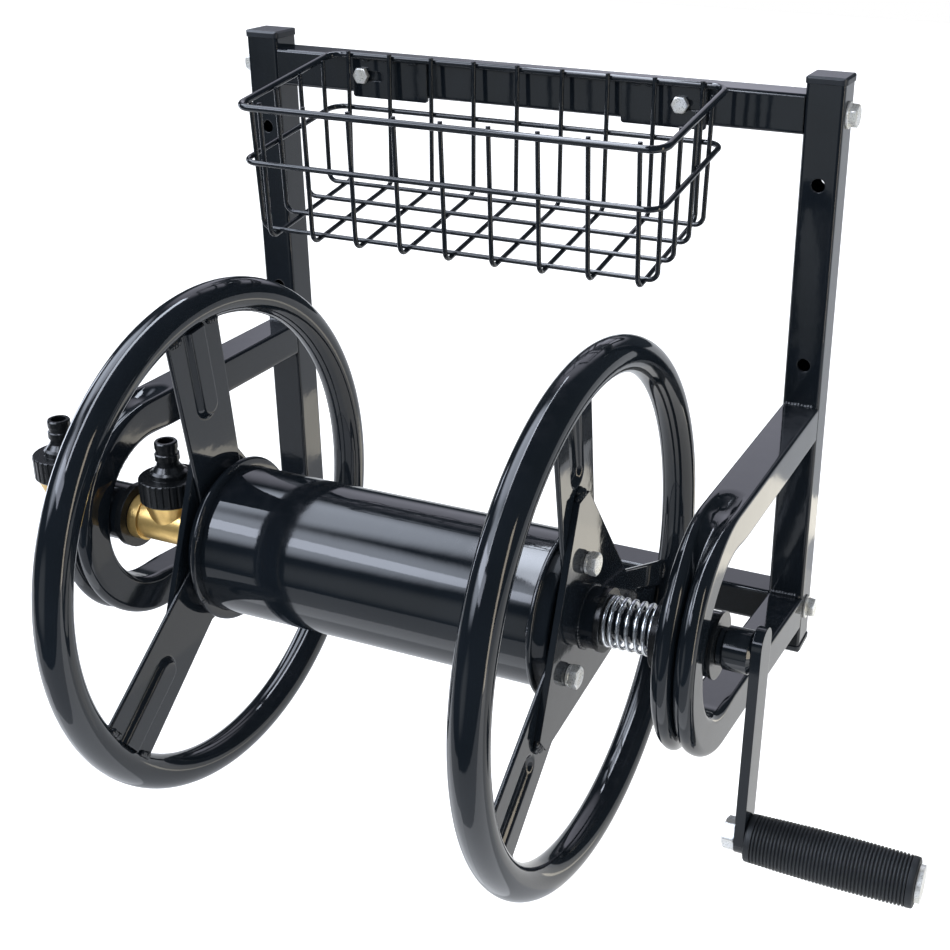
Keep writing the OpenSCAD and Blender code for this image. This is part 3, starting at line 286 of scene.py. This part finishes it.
def piece(name, skins, finish, body, slot, *nodes, sharp=38.0):
    """One object from several closed skins in millimetres, riding on a body and painted."""
    points, faces, first = [], [], 0
    for made in skins:
        pts, quads, tris = outward(*made)
        points.append(pts)
        faces += (quads + first).tolist() + (tris + first).tolist()
        first += len(pts)
    mesh = bpy.data.meshes.new(name)
    mesh.from_pydata((np.vstack(points) * MM).tolist(), [], faces)
    mesh.polygons.foreach_set("use_smooth", np.ones(len(mesh.polygons), bool))
    mesh.set_sharp_from_angle(angle=math.radians(sharp))
    mesh.materials.append(bpy.data.materials[finish])
    made = bpy.data.objects.new(name, mesh)
    bpy.context.scene.collection.objects.link(made)
    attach(made, body)
    if nodes:
        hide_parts(*nodes)
    return made


def sweep(path, radius, around=12, flat=1.0, up=(0.0, 0.0, 1.0)):
    """Tube along a path: centre + r(s) (cos a * side + flat sin a * top), with the path's own frame."""
    path = np.asarray(path, float)
    way = np.gradient(path, axis=0)
    way /= np.linalg.norm(way, axis=1, keepdims=True)
    up = np.broadcast_to(np.asarray(up, float), way.shape)
    side = np.cross(way, up)
    side /= np.linalg.norm(side, axis=1, keepdims=True)
    top = np.cross(side, way)
    a = np.linspace(0, TAU, around, endpoint=False)
    r = np.broadcast_to(np.asarray(radius, float), len(path))[:, None, None]
    return path[:, None] + r * (np.cos(a)[None, :, None] * side[:, None]
                                + flat * np.sin(a)[None, :, None] * top[:, None])


def bead(path, r, pitch=2.2, flat=0.75, up=(0.0, 0.0, 1.0), seed=0):
    """Weld bead: a tube that swells once a pitch along its run, wavers a little and ends round."""
    path = np.asarray(path, float)
    step = np.linalg.norm(np.diff(path, axis=0), axis=1)
    run = np.concatenate([[0.0], np.cumsum(step)])
    s = np.linspace(0, run[-1], max(int(run[-1] / 0.45), 14))
    line = np.stack([np.interp(s, run, path[:, k]) for k in range(3)], -1)
    end = np.clip(np.minimum(s, run[-1] - s) / (1.2 * r), 0, 1)
    shape = np.sqrt(np.clip(1 - (1 - end) ** 2, 0.02, 1))
    rng = np.random.default_rng(seed)
    phase, slow = rng.uniform(0, TAU, 2)
    wave = 1 + 0.1 * np.cos(TAU * s / pitch + phase) + 0.14 * np.sin(TAU * s / (4.3 * pitch) + slow)
    return skin(sweep(line, r * shape * wave, 12, flat, up))


def arc(centre, u, v, r, low, high, n=24):
    """Points of a circle: centre + r (cos a * u + sin a * v), for a from low to high degrees."""
    a = np.radians(np.linspace(low, high, n))[:, None]
    centre, u, v = (np.asarray(given, float) for given in (centre, u, v))
    return centre + r * (np.cos(a) * u + np.sin(a) * v)


def on_wheel(points, side):
    """Wheel's own points (Z outwards, zero on the hub plate's face) as points of the frame."""
    points = np.asarray(points, float)
    way = 1.0 if side == "right" else -1.0
    return np.stack([WHEEL_X[side] + way * points[..., 2], AXIS_Y + points[..., 0],
                     AXIS_Z + points[..., 1]], -1)


def six_sides(flats, a):
    """Radius of a hexagon at angle a: flats / 2 / cos(angle from a side's middle), with its corners cut."""
    r = flats / 2 / np.cos(a % (TAU / 6) - TAU / 12)
    return np.minimum(r, 0.985 * flats / 2 / math.cos(math.pi / 6))


def hex_rows(thread, flats, head, long, turn=0.0, around=72):
    """Hexagon bolt about Z: a shank, six sides, a 30 degree chamfer on them and a slightly dished crown."""
    a = np.linspace(0, TAU, around, endpoint=False)
    six, crown, ones = six_sides(flats, a - turn), 0.475 * flats, np.ones(around)
    drop = head - np.maximum(six - crown, 0) * CHAMFER
    shank, tip = thread / 2 * ones, 0.6
    rows = [(shank - tip, -long * ones), (shank, (tip - long) * ones), (shank, 0 * ones),
            (0.98 * six, 0 * ones), (six, 0.25 * ones), (six, drop), (crown * ones, head * ones),
            (0.94 * crown * ones, head * ones), (0.55 * crown * ones, (head - 0.12) * ones)]
    return np.stack([np.stack([r * np.cos(a), r * np.sin(a), z], -1) for r, z in rows])


def ring_rows(outside, inside, high, gap=0.0, lift=0.0, corner=0.25, around=72):
    """Washer about Z: a chamfered box section turned from gap / 2 to 360 - gap / 2 degrees, with a lift."""
    a = np.radians(np.linspace(gap / 2, 360 - gap / 2, around, endpoint=gap > 0))
    ro, ri = outside / 2, inside / 2
    box = np.array([(ri, corner), (ri + corner, 0), (ro - corner, 0), (ro, corner),
                    (ro, high - corner), (ro - corner, high), (ri + corner, high), (ri, high - corner)])
    z = box[None, :, 1] + lift * (np.linspace(0, 1, around)[:, None] - 0.5)
    return np.stack([box[None, :, 0] * np.cos(a)[:, None], box[None, :, 0] * np.sin(a)[:, None], z], -1)


# ---------------------------------------------------------------- properties

class ReelFinish(bpy.types.PropertyGroup):
    """Colours of the finishes."""

    paint: FloatVectorProperty(name="Paint", description="Gloss paint on the steelwork", subtype="COLOR",
                               size=4, min=0, max=1, default=colour("#171c22"))
    dust: FloatVectorProperty(name="Dust", description="Thin dust on faces that look up", subtype="COLOR",
                              size=4, min=0, max=1, default=colour("#8a8a92"))
    zinc: FloatVectorProperty(name="Zinc", description="Plated fasteners and spring", subtype="COLOR",
                              size=4, min=0, max=1, default=colour("#eaecee"))
    brass: FloatVectorProperty(name="Brass", description="Water fittings", subtype="COLOR",
                               size=4, min=0, max=1, default=colour("#dfbd78"))
    polymer: FloatVectorProperty(name="Polymer", description="Hose adapters and bushes", subtype="COLOR",
                                 size=4, min=0, max=1, default=colour("#0f1113"))
    cap: FloatVectorProperty(name="Cap", description="Caps in the post ends", subtype="COLOR",
                             size=4, min=0, max=1, default=colour("#20242a"))
    rubber: FloatVectorProperty(name="Rubber", description="Crank grip", subtype="COLOR",
                                size=4, min=0, max=1, default=colour("#181c20"))


class ReelSizes(bpy.types.PropertyGroup):
    """Sizes of the pieces that are drawn here."""

    bead: FloatProperty(name="Weld bead", description="Radius of a weld bead", subtype="DISTANCE",
                        unit="LENGTH", min=0.0005, max=0.004, default=0.0019)
    coil: FloatProperty(name="Coil", description="Outside diameter of the drag spring", subtype="DISTANCE",
                        unit="LENGTH", min=0.029, max=0.031, default=0.031)
    wire: FloatProperty(name="Wire", description="Wire of the drag spring", subtype="DISTANCE",
                        unit="LENGTH", min=0.002, max=0.003, default=0.0025)
    curls: FloatProperty(name="Curls", description="Turns of the drag spring", min=4, max=8, default=7)


# ---------------------------------------------------------------- operators

class HOSEREEL_OT_finishes(bpy.types.Operator):
    """Makes the finishes and gives each CAD node its own"""

    bl_idname = "hose_reel.finishes"
    bl_label = "Finishes"

    def execute(self, context):
        wish = context.scene.hose_reel_finish
        paint("gloss_black_paint", wish.paint, colour("#12171c"), wish.dust, rough=0.055, peel=0.35)
        paint("painted_weld", wish.paint, colour("#12171c"), wish.dust, rough=0.13, peel=0.8)
        zinc("bright_zinc_plate", wish.zinc, colour("#dcdbd3"), metal=0.55, rough=0.28, worn=0.25)
        zinc("spring_zinc_plate", colour("#e6eaee"), colour("#dcdfe3"), metal=0.88, rough=0.17,
             worn=0.02)
        brass("cast_brass", wish.brass, colour("#aa8a50"))
        moulded("satin_black_polymer", wish.polymer, colour("#14171a"), rough=0.21, grit=0.5,
                depth=0.012)
        moulded("grey_cap_polymer", wish.cap, colour("#262b31"), rough=0.34, grit=0.6, depth=0.02)
        moulded("grip_rubber", wish.rubber, colour("#20252a"), rough=0.5, grit=0.8, depth=0.04)
        by_slot = {"black_paint": "gloss_black_paint", "zinc": "bright_zinc_plate", "brass": "cast_brass",
                   "rubber": "grip_rubber", "grey_plastic": "grey_cap_polymer",
                   "black_plastic": "satin_black_polymer"}
        finish = {part["node"]: by_slot[part["material_slot"]] for part in frame["record"]["subparts"]}
        for name, made in frame["nodes"].items():
            if not made.data.materials:
                made.data.materials.append(None)
            for k in range(len(made.material_slots)):
                made.material_slots[k].material = bpy.data.materials[finish[name]]
        return {"FINISHED"}


class HOSEREEL_OT_spring(bpy.types.Operator):
    """Draws the drag spring as one round wire"""

    bl_idname = "hose_reel.spring"
    bl_label = "Drag spring"

    def execute(self, context):
        wish = context.scene.hose_reel_sizes
        wire, coil, curls = wish.wire / MM, wish.coil / MM, wish.curls
        # A helix: the angle grows evenly with t, and x waits at both ends so that the end curls lie flat
        r = (coil - wire) / 2
        t = np.linspace(0, 1, 700)
        ease = np.clip((t - SPRING_FLAT) / (1 - 2 * SPRING_FLAT), 0, 1)
        x = SPRING_IN + wire / 2 + (SPRING_OUT - SPRING_IN - wire) * (ease - 0.03 * np.sin(TAU * ease))
        turn = TAU * curls * t
        path = np.stack([x, AXIS_Y + r * np.cos(turn), AXIS_Z + r * np.sin(turn)], -1)
        tube = skin(sweep(path, np.full(len(t), wire / 2 - 0.01), 14, 1.0, (1.0, 0.0, 0.0)))
        piece("drag_spring_wire", [tube], "spring_zinc_plate", "reel", "zinc", "drag_spring", sharp=60)
        return {"FINISHED"}


class HOSEREEL_OT_fasteners(bpy.types.Operator):
    """Draws the bolts, the plain washers and the split lock washers"""

    bl_idname = "hose_reel.fasteners"
    bl_label = "Fasteners"

    def execute(self, context):
        # Each bolt is turned from its own Z to where it stands: spun about the axle, or laid along X or Y
        hub = hex_rows(*HUB_BOLT, turn=math.radians(30))
        rings = ring_rows(*LOCK_WASHER, gap=14, lift=0.1)
        for side in ("left", "right"):
            bolts, locks = [], []
            for k in range(3):
                a = math.radians(SPOKE_TURN + 120 * k)
                c, s = math.cos(a), math.sin(a)
                spin = np.array([[c, -s, 0], [s, c, 0], [0, 0, 1]])
                seat = np.array([HUB_PITCH * c, HUB_PITCH * s, 0])
                bolts.append(skin(on_wheel(hub @ spin.T + seat + (0, 0, HUB_SEAT), side)))
                locks.append(skin(on_wheel(rings @ spin.T + seat + (0, 0, LOCK_SEAT), side)))
            piece(side + "_hub_bolt_heads", bolts, "bright_zinc_plate", "reel", "zinc", side + "_hub_bolts")
            piece(side + "_split_washers", locks, "bright_zinc_plate", "reel", "zinc",
                  side + "_lock_washers")
        bolt, flat = hex_rows(*FRAME_BOLT), ring_rows(*FRAME_WASHER)
        bolts, flats = [], []
        for way in (-1, 1):
            for z in (BAR_TOP_Z, BAR_LOW_Z):
                turn = np.array([[0, 0, way], [0, way, 0], [-1.0, 0, 0]])
                seat = np.array([way * (POST_X + TUBE / 2), MID_Y, z])
                bolts.append(skin((bolt + (0, 0, FRAME_WASHER[2])) @ turn.T + seat))
                flats.append(skin(flat @ turn.T + seat, closed=True))
        piece("frame_bolt_heads", bolts, "bright_zinc_plate", "frame", "zinc", "frame_bolts")
        piece("frame_plain_washers", flats, "bright_zinc_plate", "frame", "zinc", "frame_washers")
        small = hex_rows(*BASKET_BOLT)
        turn = np.array([[1.0, 0, 0], [0, 0, -1.0], [0, 1.0, 0]])
        heads = [skin(small @ turn.T + (x, PLATE_Y, BAR_TOP_Z)) for x in BASKET_BOLT_X]
        piece("basket_bolt_heads", heads, "bright_zinc_plate", "frame", "zinc", "basket_bolts")
        return {"FINISHED"}


class HOSEREEL_OT_grip(bpy.types.Operator):
    """Turns the ringed rubber grip and the chamfered nut behind the crank"""

    bl_idname = "hose_reel.grip"
    bl_label = "Grip"

    def execute(self, context):
        # Turned wall: r(x) is a slow swell, less a groove once a ring, less a quarter round at both ends
        lead = np.array([0.0, 0.25, 0.6, GRIP_EDGE])
        middle = np.linspace(COLLAR - 0.8, GRIP_LEN - COLLAR + 0.8, 10 * GRIP_RINGS + 8)
        x = np.concatenate([lead, middle, GRIP_LEN - lead[::-1]])
        step = (GRIP_LEN - 2 * COLLAR) / GRIP_RINGS
        t = x / GRIP_LEN
        r = GRIP_R + GRIP_GROWS * t + GRIP_SWELL * np.sin(math.pi * t) ** 0.8
        inside = (x > COLLAR) & (x < GRIP_LEN - COLLAR)
        wave = np.clip(0.15 - 0.85 * np.cos(TAU * (x - COLLAR) / step + math.pi), 0, 1)
        r -= np.where(inside, GROOVE * wave, 0)
        end = np.clip(np.minimum(x, GRIP_LEN - x) / GRIP_EDGE, 0, 1)
        r -= GRIP_EDGE * (1 - np.sqrt(1 - (1 - end) ** 2))
        a = np.linspace(0, TAU, 72, endpoint=False)
        wall = np.stack([np.broadcast_to((GRIP_X + x)[:, None], (len(x), 72)),
                         PIN_Y + r[:, None] * np.cos(a), PIN_Z + r[:, None] * np.sin(a)], -1)
        piece("ringed_grip", [skin(wall)], "grip_rubber", "grip", "rubber", "grip", sharp=70)
        # Nut: flats as on a bolt, with a 30 degree chamfer on both faces
        six, ones = six_sides(NUT_FLATS, a + NUT_TURN), np.ones(72)
        drop, low, high = np.maximum(six - NUT_CROWN, 0) * CHAMFER, 0 * ones, NUT_HIGH * ones
        crown, face = NUT_CROWN * ones, NUT_FACE * ones
        rows = ((face, low), (crown, low), (six, drop), (six, NUT_HIGH - drop), (crown, high), (face, high))
        nut = np.stack([np.stack([NUT_X - z, PIN_Y + q * np.cos(a), PIN_Z + q * np.sin(a)], -1)
                        for q, z in rows])
        piece("chamfered_nut", [skin(nut)], "bright_zinc_plate", "reel", "zinc", "grip_nut")
        return {"FINISHED"}


def crushed_section(t, x, valley):
    """Tube outline at each row: the outer side goes from flat at t 0 to two ridges beside a valley at t 1.

    A ridge is an ellipse from the valley's half width to the tube's side, the valley is a parabola between
    them, and the inner side's corners grow round at the same rate."""
    w = TUBE / 2
    far, g = np.abs(x)[None, :], valley[:, None]
    corner, heel = np.clip(far - w + CORNER_R, 0, None), np.clip(far - w + HEEL_R, 0, None)
    flat = w - CORNER_R + np.sqrt(np.clip(CORNER_R ** 2 - corner ** 2, 0, None))
    wide = (w - g) / 2
    ridge = w - wide + wide * np.sqrt(np.clip(1 - ((far - (w + g) / 2) / wide) ** 2, 0, None))
    deep = VALLEY_DEEP + VALLEY_GAIN * (1 - g / w)
    ridge = np.where(far < g, w - wide - deep * (1 - (far / g) ** 2), ridge)
    heel = HEEL_R - w - np.sqrt(np.clip(HEEL_R ** 2 - heel ** 2, 0, None))
    top = flat + (ridge - flat) * t
    low = -flat + (heel + flat) * t
    k = np.linspace(0, 1, 9)[1:-1]
    right = top[:, -1:] + (low[:, -1:] - top[:, -1:]) * k
    outline_x = np.concatenate([x, np.full(7, w), x[::-1], np.full(7, -w)])
    outline_y = np.concatenate([top, right, low[:, ::-1], right[:, ::-1]], axis=1)
    return np.broadcast_to(outline_x, outline_y.shape), outline_y


class HOSEREEL_OT_arms(bpy.types.Operator):
    """Draws each arm as one tube whose section is crushed gradually on its way into the bend"""

    bl_idname = "hose_reel.arms"
    bl_label = "Arms"

    def execute(self, context):
        # The path is a straight leg, an arc and a straight leg; s is the way along it, with close rows where
        # the crush begins and ends, and the outline of crushed_section is carried along it
        leg_a, turn = ARM_REACH - TUBE, math.pi - LEG_SLOPE
        bend = BEND_R * turn
        leg_b = leg_a + bend
        marks = (0, leg_a - ROWS_OUT, leg_a + ROWS_IN, leg_b - ROWS_IN, leg_b + ROWS_OUT, leg_b + LOW_LEG)
        counts = (8, 50, 90, 50, 8)
        s = np.concatenate([np.linspace(low, high, n)[:-1] for low, high, n in zip(marks, marks[1:], counts)]
                           + [marks[-1:]])
        a = math.pi / 2 + np.clip((s - leg_a) / BEND_R, 0, turn)
        out = np.stack([np.cos(a), np.sin(a)], -1)
        way = np.stack([-np.sin(a), np.cos(a)], -1)
        over = np.minimum(s - leg_a, 0) + np.maximum(s - leg_b, 0)
        line = np.array([-ARM_REACH, BEND_Z]) + BEND_R * out + over[:, None] * way
        u = np.linspace(-1, 1, 97)
        x = TUBE / 2 * np.sign(u) * np.abs(np.sin(u * math.pi / 2)) ** 1.2
        into = np.minimum(s - leg_a, leg_b - s)
        lag = RUN_LAG * (x[None, :] / (TUBE / 2)) ** 2
        ease = np.clip((into[:, None] + RUN_OUT - lag) / RUN_LEN, 0, 1)
        deep = np.clip((into + DEEP_OUT) / DEEP_LEN, 0, 1)
        x, y = crushed_section(ease * ease * (3 - 2 * ease), x,
                               VALLEY - VALLEY_LOSS * deep * deep * (3 - 2 * deep))
        # Creases: two sine waves along and across the inner side, under a bell about one place of the bend
        bell = np.exp(-((np.degrees(a) - CREASE_AT) / CREASE_WIDE) ** 2)[:, None]
        worn = bell * np.clip(-y / (TUBE / 2), 0, 1) ** 3
        waves = 0.45 * np.sin(s * 1.9)[:, None] + 0.3 * np.sin(s * 0.83 + 1.0)[:, None] * np.cos(x * 0.6)
        for side, post, share in (("left", -POST_X, 1.0), ("right", POST_X, 0.5)):
            rise = y + share * worn * waves
            rows = np.stack([post + x, line[:, :1] + rise * out[:, :1], line[:, 1:] + rise * out[:, 1:]], -1)
            piece(side + "_crushed_arm", [skin(rows)], "gloss_black_paint", "frame", "black_paint",
                  side + "_arm", sharp=50)
        return {"FINISHED"}


class HOSEREEL_OT_spokes(bpy.types.Operator):
    """Draws the pressed spokes, whose ribs rise softly towards the drum"""

    bl_idname = "hose_reel.spokes"
    bl_label = "Spokes"

    def execute(self, context):
        # A tapered strip over (r, v) with a rib: each face drops by a smooth step of the distance from the
        # rib's middle line, which ends in a half round at RIB_END
        r = np.concatenate([np.linspace(SPOKE_IN, RIB_ROWS[0], 12)[:-1], np.linspace(*RIB_ROWS, 40)[:-1],
                            np.linspace(RIB_ROWS[1], SPOKE_OUT, 24)])
        half = (SPOKE_HUB_W + (SPOKE_RIM_W - SPOKE_HUB_W) * (r - SPOKE_IN) / (RIM_R - SPOKE_IN)) / 2
        v = np.linspace(-1, 1, 81) * (half[:, None] - SPOKE_INSET)
        far = np.hypot(np.clip(RIB_END - r, 0, None)[:, None], v)

        def step(foot, top):
            """Smooth step of the distance: 0 beyond the rib's foot, 1 within its top."""
            t = np.clip((foot - far) / (foot - top), 0, 1)
            return t * t * (3 - 2 * t)

        front, rear = SPOKE_FACE - RIB_DEEP * step(*RIB_FRONT), SPOKE_BACK - RIB_DEEP * step(*RIB_REAR)
        edge = half[:, None]
        high = np.full_like(edge, SPOKE_FACE - SPOKE_CORNER)
        low = np.full_like(edge, SPOKE_BACK + SPOKE_CORNER)
        across = np.concatenate([v, edge, edge, v[:, ::-1], -edge, -edge], axis=1)
        depth = np.concatenate([front, high, low, rear[:, ::-1], low, high], axis=1)
        along = np.broadcast_to(r[:, None], across.shape)
        for side in ("left", "right"):
            bars = []
            for k in range(3):
                a = math.radians(SPOKE_TURN + 120 * k)
                c, s = math.cos(a), math.sin(a)
                bar = np.stack([along * c - across * s, along * s + across * c, depth], -1)
                bars.append(skin(on_wheel(bar, side)))
            piece(side + "_pressed_spokes", bars, "gloss_black_paint", "reel", "black_paint",
                  side + "_spokes", sharp=60)
        return {"FINISHED"}


class HOSEREEL_OT_cups(bpy.types.Operator):
    """Spins the dished cups, whose lips are rolled over the drum's ends"""

    bl_idname = "hose_reel.cups"
    bl_label = "Cups"

    def execute(self, context):
        # A profile of radius and height turned once about the axle: dish, knee, cone and rolled lip
        (knee_at, knee_r, *knee), (lip_at, lip_r, *lip) = CUP_KNEE, CUP_LIP
        knee = arc(knee_at, (1, 0, 0), (0, 1, 0), knee_r, *knee, 9)
        lip = arc(lip_at, (1, 0, 0), (0, 1, 0), lip_r, *lip, 20)
        shape = np.vstack([CUP_FACE, knee, CUP_CONE, lip, CUP_INSIDE])
        a = np.linspace(0, TAU, 160, endpoint=False)[:, None]
        rows = np.stack([shape[None, :, 0] * np.cos(a), shape[None, :, 0] * np.sin(a),
                         np.broadcast_to(shape[None, :, 1], (160, len(shape)))], -1)
        for side in ("left", "right"):
            piece(side + "_rolled_cup", [skin(on_wheel(rows, side), closed=True)], "gloss_black_paint",
                  "reel", "black_paint", side + "_cup", sharp=40)
        return {"FINISHED"}


class HOSEREEL_OT_welds(bpy.types.Operator):
    """Lays the painted weld beads on the arms, the sleeves and the wheels"""

    bl_idname = "hose_reel.welds"
    bl_label = "Weld beads"

    def execute(self, context):
        # Every bead follows its own line: straight across an arm or a plate, or an arc about the axle
        r = context.scene.hose_reel_sizes.bead / MM
        for side, way in (("left", -1), ("right", 1)):
            x = np.linspace(-WELD_HALF, WELD_HALF, 30) + way * POST_X
            runs = [(np.stack([x, 0 * x - TUBE - WELD_PROUD, 0 * x + z], -1), (0.0, -1.0, 0.6 * up))
                    for z, up in ARM_WELDS]
            beads = [bead(p, r, up=up, seed=7 * k + way + 1) for k, (p, up) in enumerate(runs)]
            y, z = SLEEVE_WAY
            for k, turn in enumerate(SLEEVE_BEADS):
                c, s = math.cos(math.radians(turn)), math.sin(math.radians(turn))
                spot = SLEEVE_R * np.array([c * y - s * z, s * y + c * z])
                p = np.stack([x, 0 * x + AXIS_Y + spot[0], 0 * x + AXIS_Z + spot[1]], -1)
                beads.append(bead(p, 1.3 * r, up=(0.0, -y, -z), seed=31 + k))
            piece(side + "_arm_welds", beads, "painted_weld", "frame", "black_paint", sharp=80)
            tacks = []
            for k in range(3):
                mid = SPOKE_TURN + 120 * k
                for low, high in RIM_TACKS:
                    for rad, z in RIM_RINGS:
                        p = arc((0, 0, z), (1, 0, 0), (0, 1, 0), rad, mid + low, mid + high)
                        tacks.append(bead(on_wheel(p, side), 1.25 * r, up=(1.0, 0.0, 0.0), seed=50 + k))
                a = math.radians(mid)
                u, v = np.array([math.cos(a), math.sin(a), 0]), np.array([-math.sin(a), math.cos(a), 0])
                for n, (rad, half, size) in enumerate(TIP_WELDS):
                    p = rad * u + np.linspace(-half, half, 24)[:, None] * v + (0, 0, -2.4 - 0.5 * n)
                    tacks.append(bead(on_wheel(p, side), size * r, up=(1.0, 0.0, 0.0),
                                      seed=70 + 5 * n + k))
            p = arc((0, 0, 0.2), (1, 0, 0), (0, 1, 0), BOSS_R, 0, 350, 160)
            tacks.append(bead(on_wheel(p, side), 0.8 * r, up=(1.0, 0.0, 0.0), seed=90))
            for k, mid in enumerate(CUP_TACKS[side]):
                p = arc((0, 0, -16.6), (1, 0, 0), (0, 1, 0), CUP_R, mid - CUP_TACK_HALF,
                        mid + CUP_TACK_HALF)
                tacks.append(bead(on_wheel(p, side), 1.15 * r, up=(1.0, 0.0, 0.0), seed=100 + k))
            piece(side + "_wheel_welds", tacks, "painted_weld", "reel", "black_paint", sharp=80)
        spots = []
        for k, (x, long) in enumerate(PLATE_WELDS):
            p = np.linspace(-0.5, 0.5, 20)[:, None] * (long, 0, 0) + (x, PLATE_Y - 0.6, PLATE_WELD_Z)
            spots.append(bead(p, 0.9 * r, up=(0.0, -1.0, 0.0), seed=120 + k))
        piece("basket_plate_welds", spots, "painted_weld", "frame", "black_paint", sharp=80)
        return {"FINISHED"}


def track(aim):
    """Turn that points a lamp's own -Z along aim, as angles about X and Z."""
    far = math.hypot(aim[0], aim[1])
    return (math.atan2(far, -aim[2]), 0.0, math.atan2(aim[0], -aim[1]) + math.pi if far else 0.0)


class HOSEREEL_OT_stage(bpy.types.Operator):
    """Sets the floor, the lights, the white surround and the camera"""

    bl_idname = "hose_reel.stage"
    bl_label = "Studio"

    def execute(self, context):
        scene = context.scene
        floor = bpy.data.meshes.new("floor")
        floor.from_pydata([(x, y, FLOOR_Z) for x, y in FLOOR], [], [(0, 1, 2, 3)])
        ground = bpy.data.objects.new("floor", floor)
        scene.collection.objects.link(ground)
        # Matt white card that the camera sees lifted to white, with the object's shadow left on it
        tree = start("pale_floor")[0]
        camera = put(tree, "ShaderNodeLightPath", None, "Is Camera Ray")
        lift = put(tree, "ShaderNodeMath", {0: camera, 1: 0.62}, operation="MULTIPLY")
        card = put(tree, "ShaderNodeBsdfPrincipled", {"Base Color": colour("#fafafa"), "Roughness": 0.9,
                                                      "Emission Color": colour("#ffffff"),
                                                      "Emission Strength": lift})
        put(tree, "ShaderNodeOutputMaterial", {"Surface": card})
        floor.materials.append(bpy.data.materials["pale_floor"])
        world = bpy.data.worlds.new("studio_surround")
        world.use_nodes = True
        tree = world.node_tree
        tree.nodes.clear()
        way = put(tree, "ShaderNodeTexCoord", None, "Generated")
        seen = colour("#3a4047")
        for aim, far, near, tint, level in SURROUND:
            aim = np.array(aim) / np.linalg.norm(aim)
            near_by = put(tree, "ShaderNodeVectorMath", {0: way, 1: tuple(aim)}, "Value",
                          operation="DOT_PRODUCT")
            glow = put(tree, "ShaderNodeMapRange", {0: near_by, 1: far, 2: near, 3: 0.0, 4: level},
                       interpolation_type="SMOOTHSTEP")
            glow = put(tree, "ShaderNodeVectorMath", {0: colour(tint)[:3], "Scale": glow}, operation="SCALE")
            seen = put(tree, "ShaderNodeMix", {0: 1.0, 6: seen, 7: glow}, 2, data_type="RGBA",
                       blend_type="ADD")
        glossy = put(tree, "ShaderNodeLightPath", None, "Is Glossy Ray")
        through = put(tree, "ShaderNodeLightPath", None, "Is Transmission Ray")
        mirror = put(tree, "ShaderNodeMath", {0: glossy, 1: through}, operation="MAXIMUM")
        around = put(tree, "ShaderNodeMix", {0: mirror, 6: colour("#e4e8ee"), 7: seen}, 2, data_type="RGBA")
        camera = put(tree, "ShaderNodeLightPath", None, "Is Camera Ray")
        shown = put(tree, "ShaderNodeMix", {0: camera, 6: around, 7: colour("#ffffff")}, 2, data_type="RGBA")
        surround = put(tree, "ShaderNodeBackground", {"Color": shown})
        put(tree, "ShaderNodeOutputWorld", {"Surface": surround})
        scene.world = world
        for name, spot, aim, size, glow, tint, roll, lights in LAMPS:
            light = bpy.data.lights.new(name, "AREA")
            light.shape = "RECTANGLE"
            light.size, light.size_y = size
            light.energy = glow * math.pi * size[0] * size[1]
            light.color = colour(tint)[:3]
            lamp = bpy.data.objects.new(name, light)
            scene.collection.objects.link(lamp)
            lamp.location = spot
            lamp.rotation_euler = track(np.array(aim) - np.array(spot))
            lamp.rotation_euler.z += math.radians(roll)
            lamp.visible_camera = False
            lamp.visible_diffuse = lights
        lens = bpy.data.cameras.new("photo_camera")
        lens.sensor_width, lens.lens = PICTURE, LENS
        lens.shift_x, lens.shift_y = SHIFT
        lens.clip_start, lens.clip_end = 0.05, 50.0
        eye = bpy.data.objects.new("photo_camera", lens)
        scene.collection.objects.link(eye)
        eye.location = EYE
        eye.rotation_euler = tuple(math.radians(a) for a in EYE_TURN)
        scene.camera = eye
        scene.view_settings.view_transform = "Standard"
        return {"FINISHED"}


class HOSEREEL_PT_panel(bpy.types.Panel):
    """Lists the pieces and their settings"""

    bl_idname = "HOSEREEL_PT_panel"
    bl_label = "Hose Reel"
    bl_space_type = "VIEW_3D"
    bl_region_type = "UI"
    bl_category = "Hose Reel"

    def draw(self, context):
        for group in (context.scene.hose_reel_finish, context.scene.hose_reel_sizes):
            for key in group.__annotations__:
                self.layout.prop(group, key)
        for made in OPERATORS:
            self.layout.operator(made.bl_idname)


OPERATORS = (HOSEREEL_OT_finishes, HOSEREEL_OT_spring, HOSEREEL_OT_fasteners, HOSEREEL_OT_grip,
             HOSEREEL_OT_arms, HOSEREEL_OT_spokes, HOSEREEL_OT_cups, HOSEREEL_OT_welds, HOSEREEL_OT_stage)
CLASSES = (ReelFinish, ReelSizes, *OPERATORS, HOSEREEL_PT_panel)


def register():
    """Registers the classes and hangs their settings on the scene."""
    for made in CLASSES:
        bpy.utils.register_class(made)
    bpy.types.Scene.hose_reel_finish = PointerProperty(type=ReelFinish)
    bpy.types.Scene.hose_reel_sizes = PointerProperty(type=ReelSizes)


def unregister():
    """Takes the settings and the classes away again."""
    del bpy.types.Scene.hose_reel_sizes
    del bpy.types.Scene.hose_reel_finish
    for made in reversed(CLASSES):
        bpy.utils.unregister_class(made)


def main():
    """Makes every piece and the studio."""
    register()
    bpy.ops.hose_reel.finishes()
    bpy.ops.hose_reel.spring()
    bpy.ops.hose_reel.fasteners()
    bpy.ops.hose_reel.grip()
    bpy.ops.hose_reel.arms()
    bpy.ops.hose_reel.spokes()
    bpy.ops.hose_reel.cups()
    bpy.ops.hose_reel.welds()
    bpy.ops.hose_reel.stage()


if __name__ == "__main__":
    main()
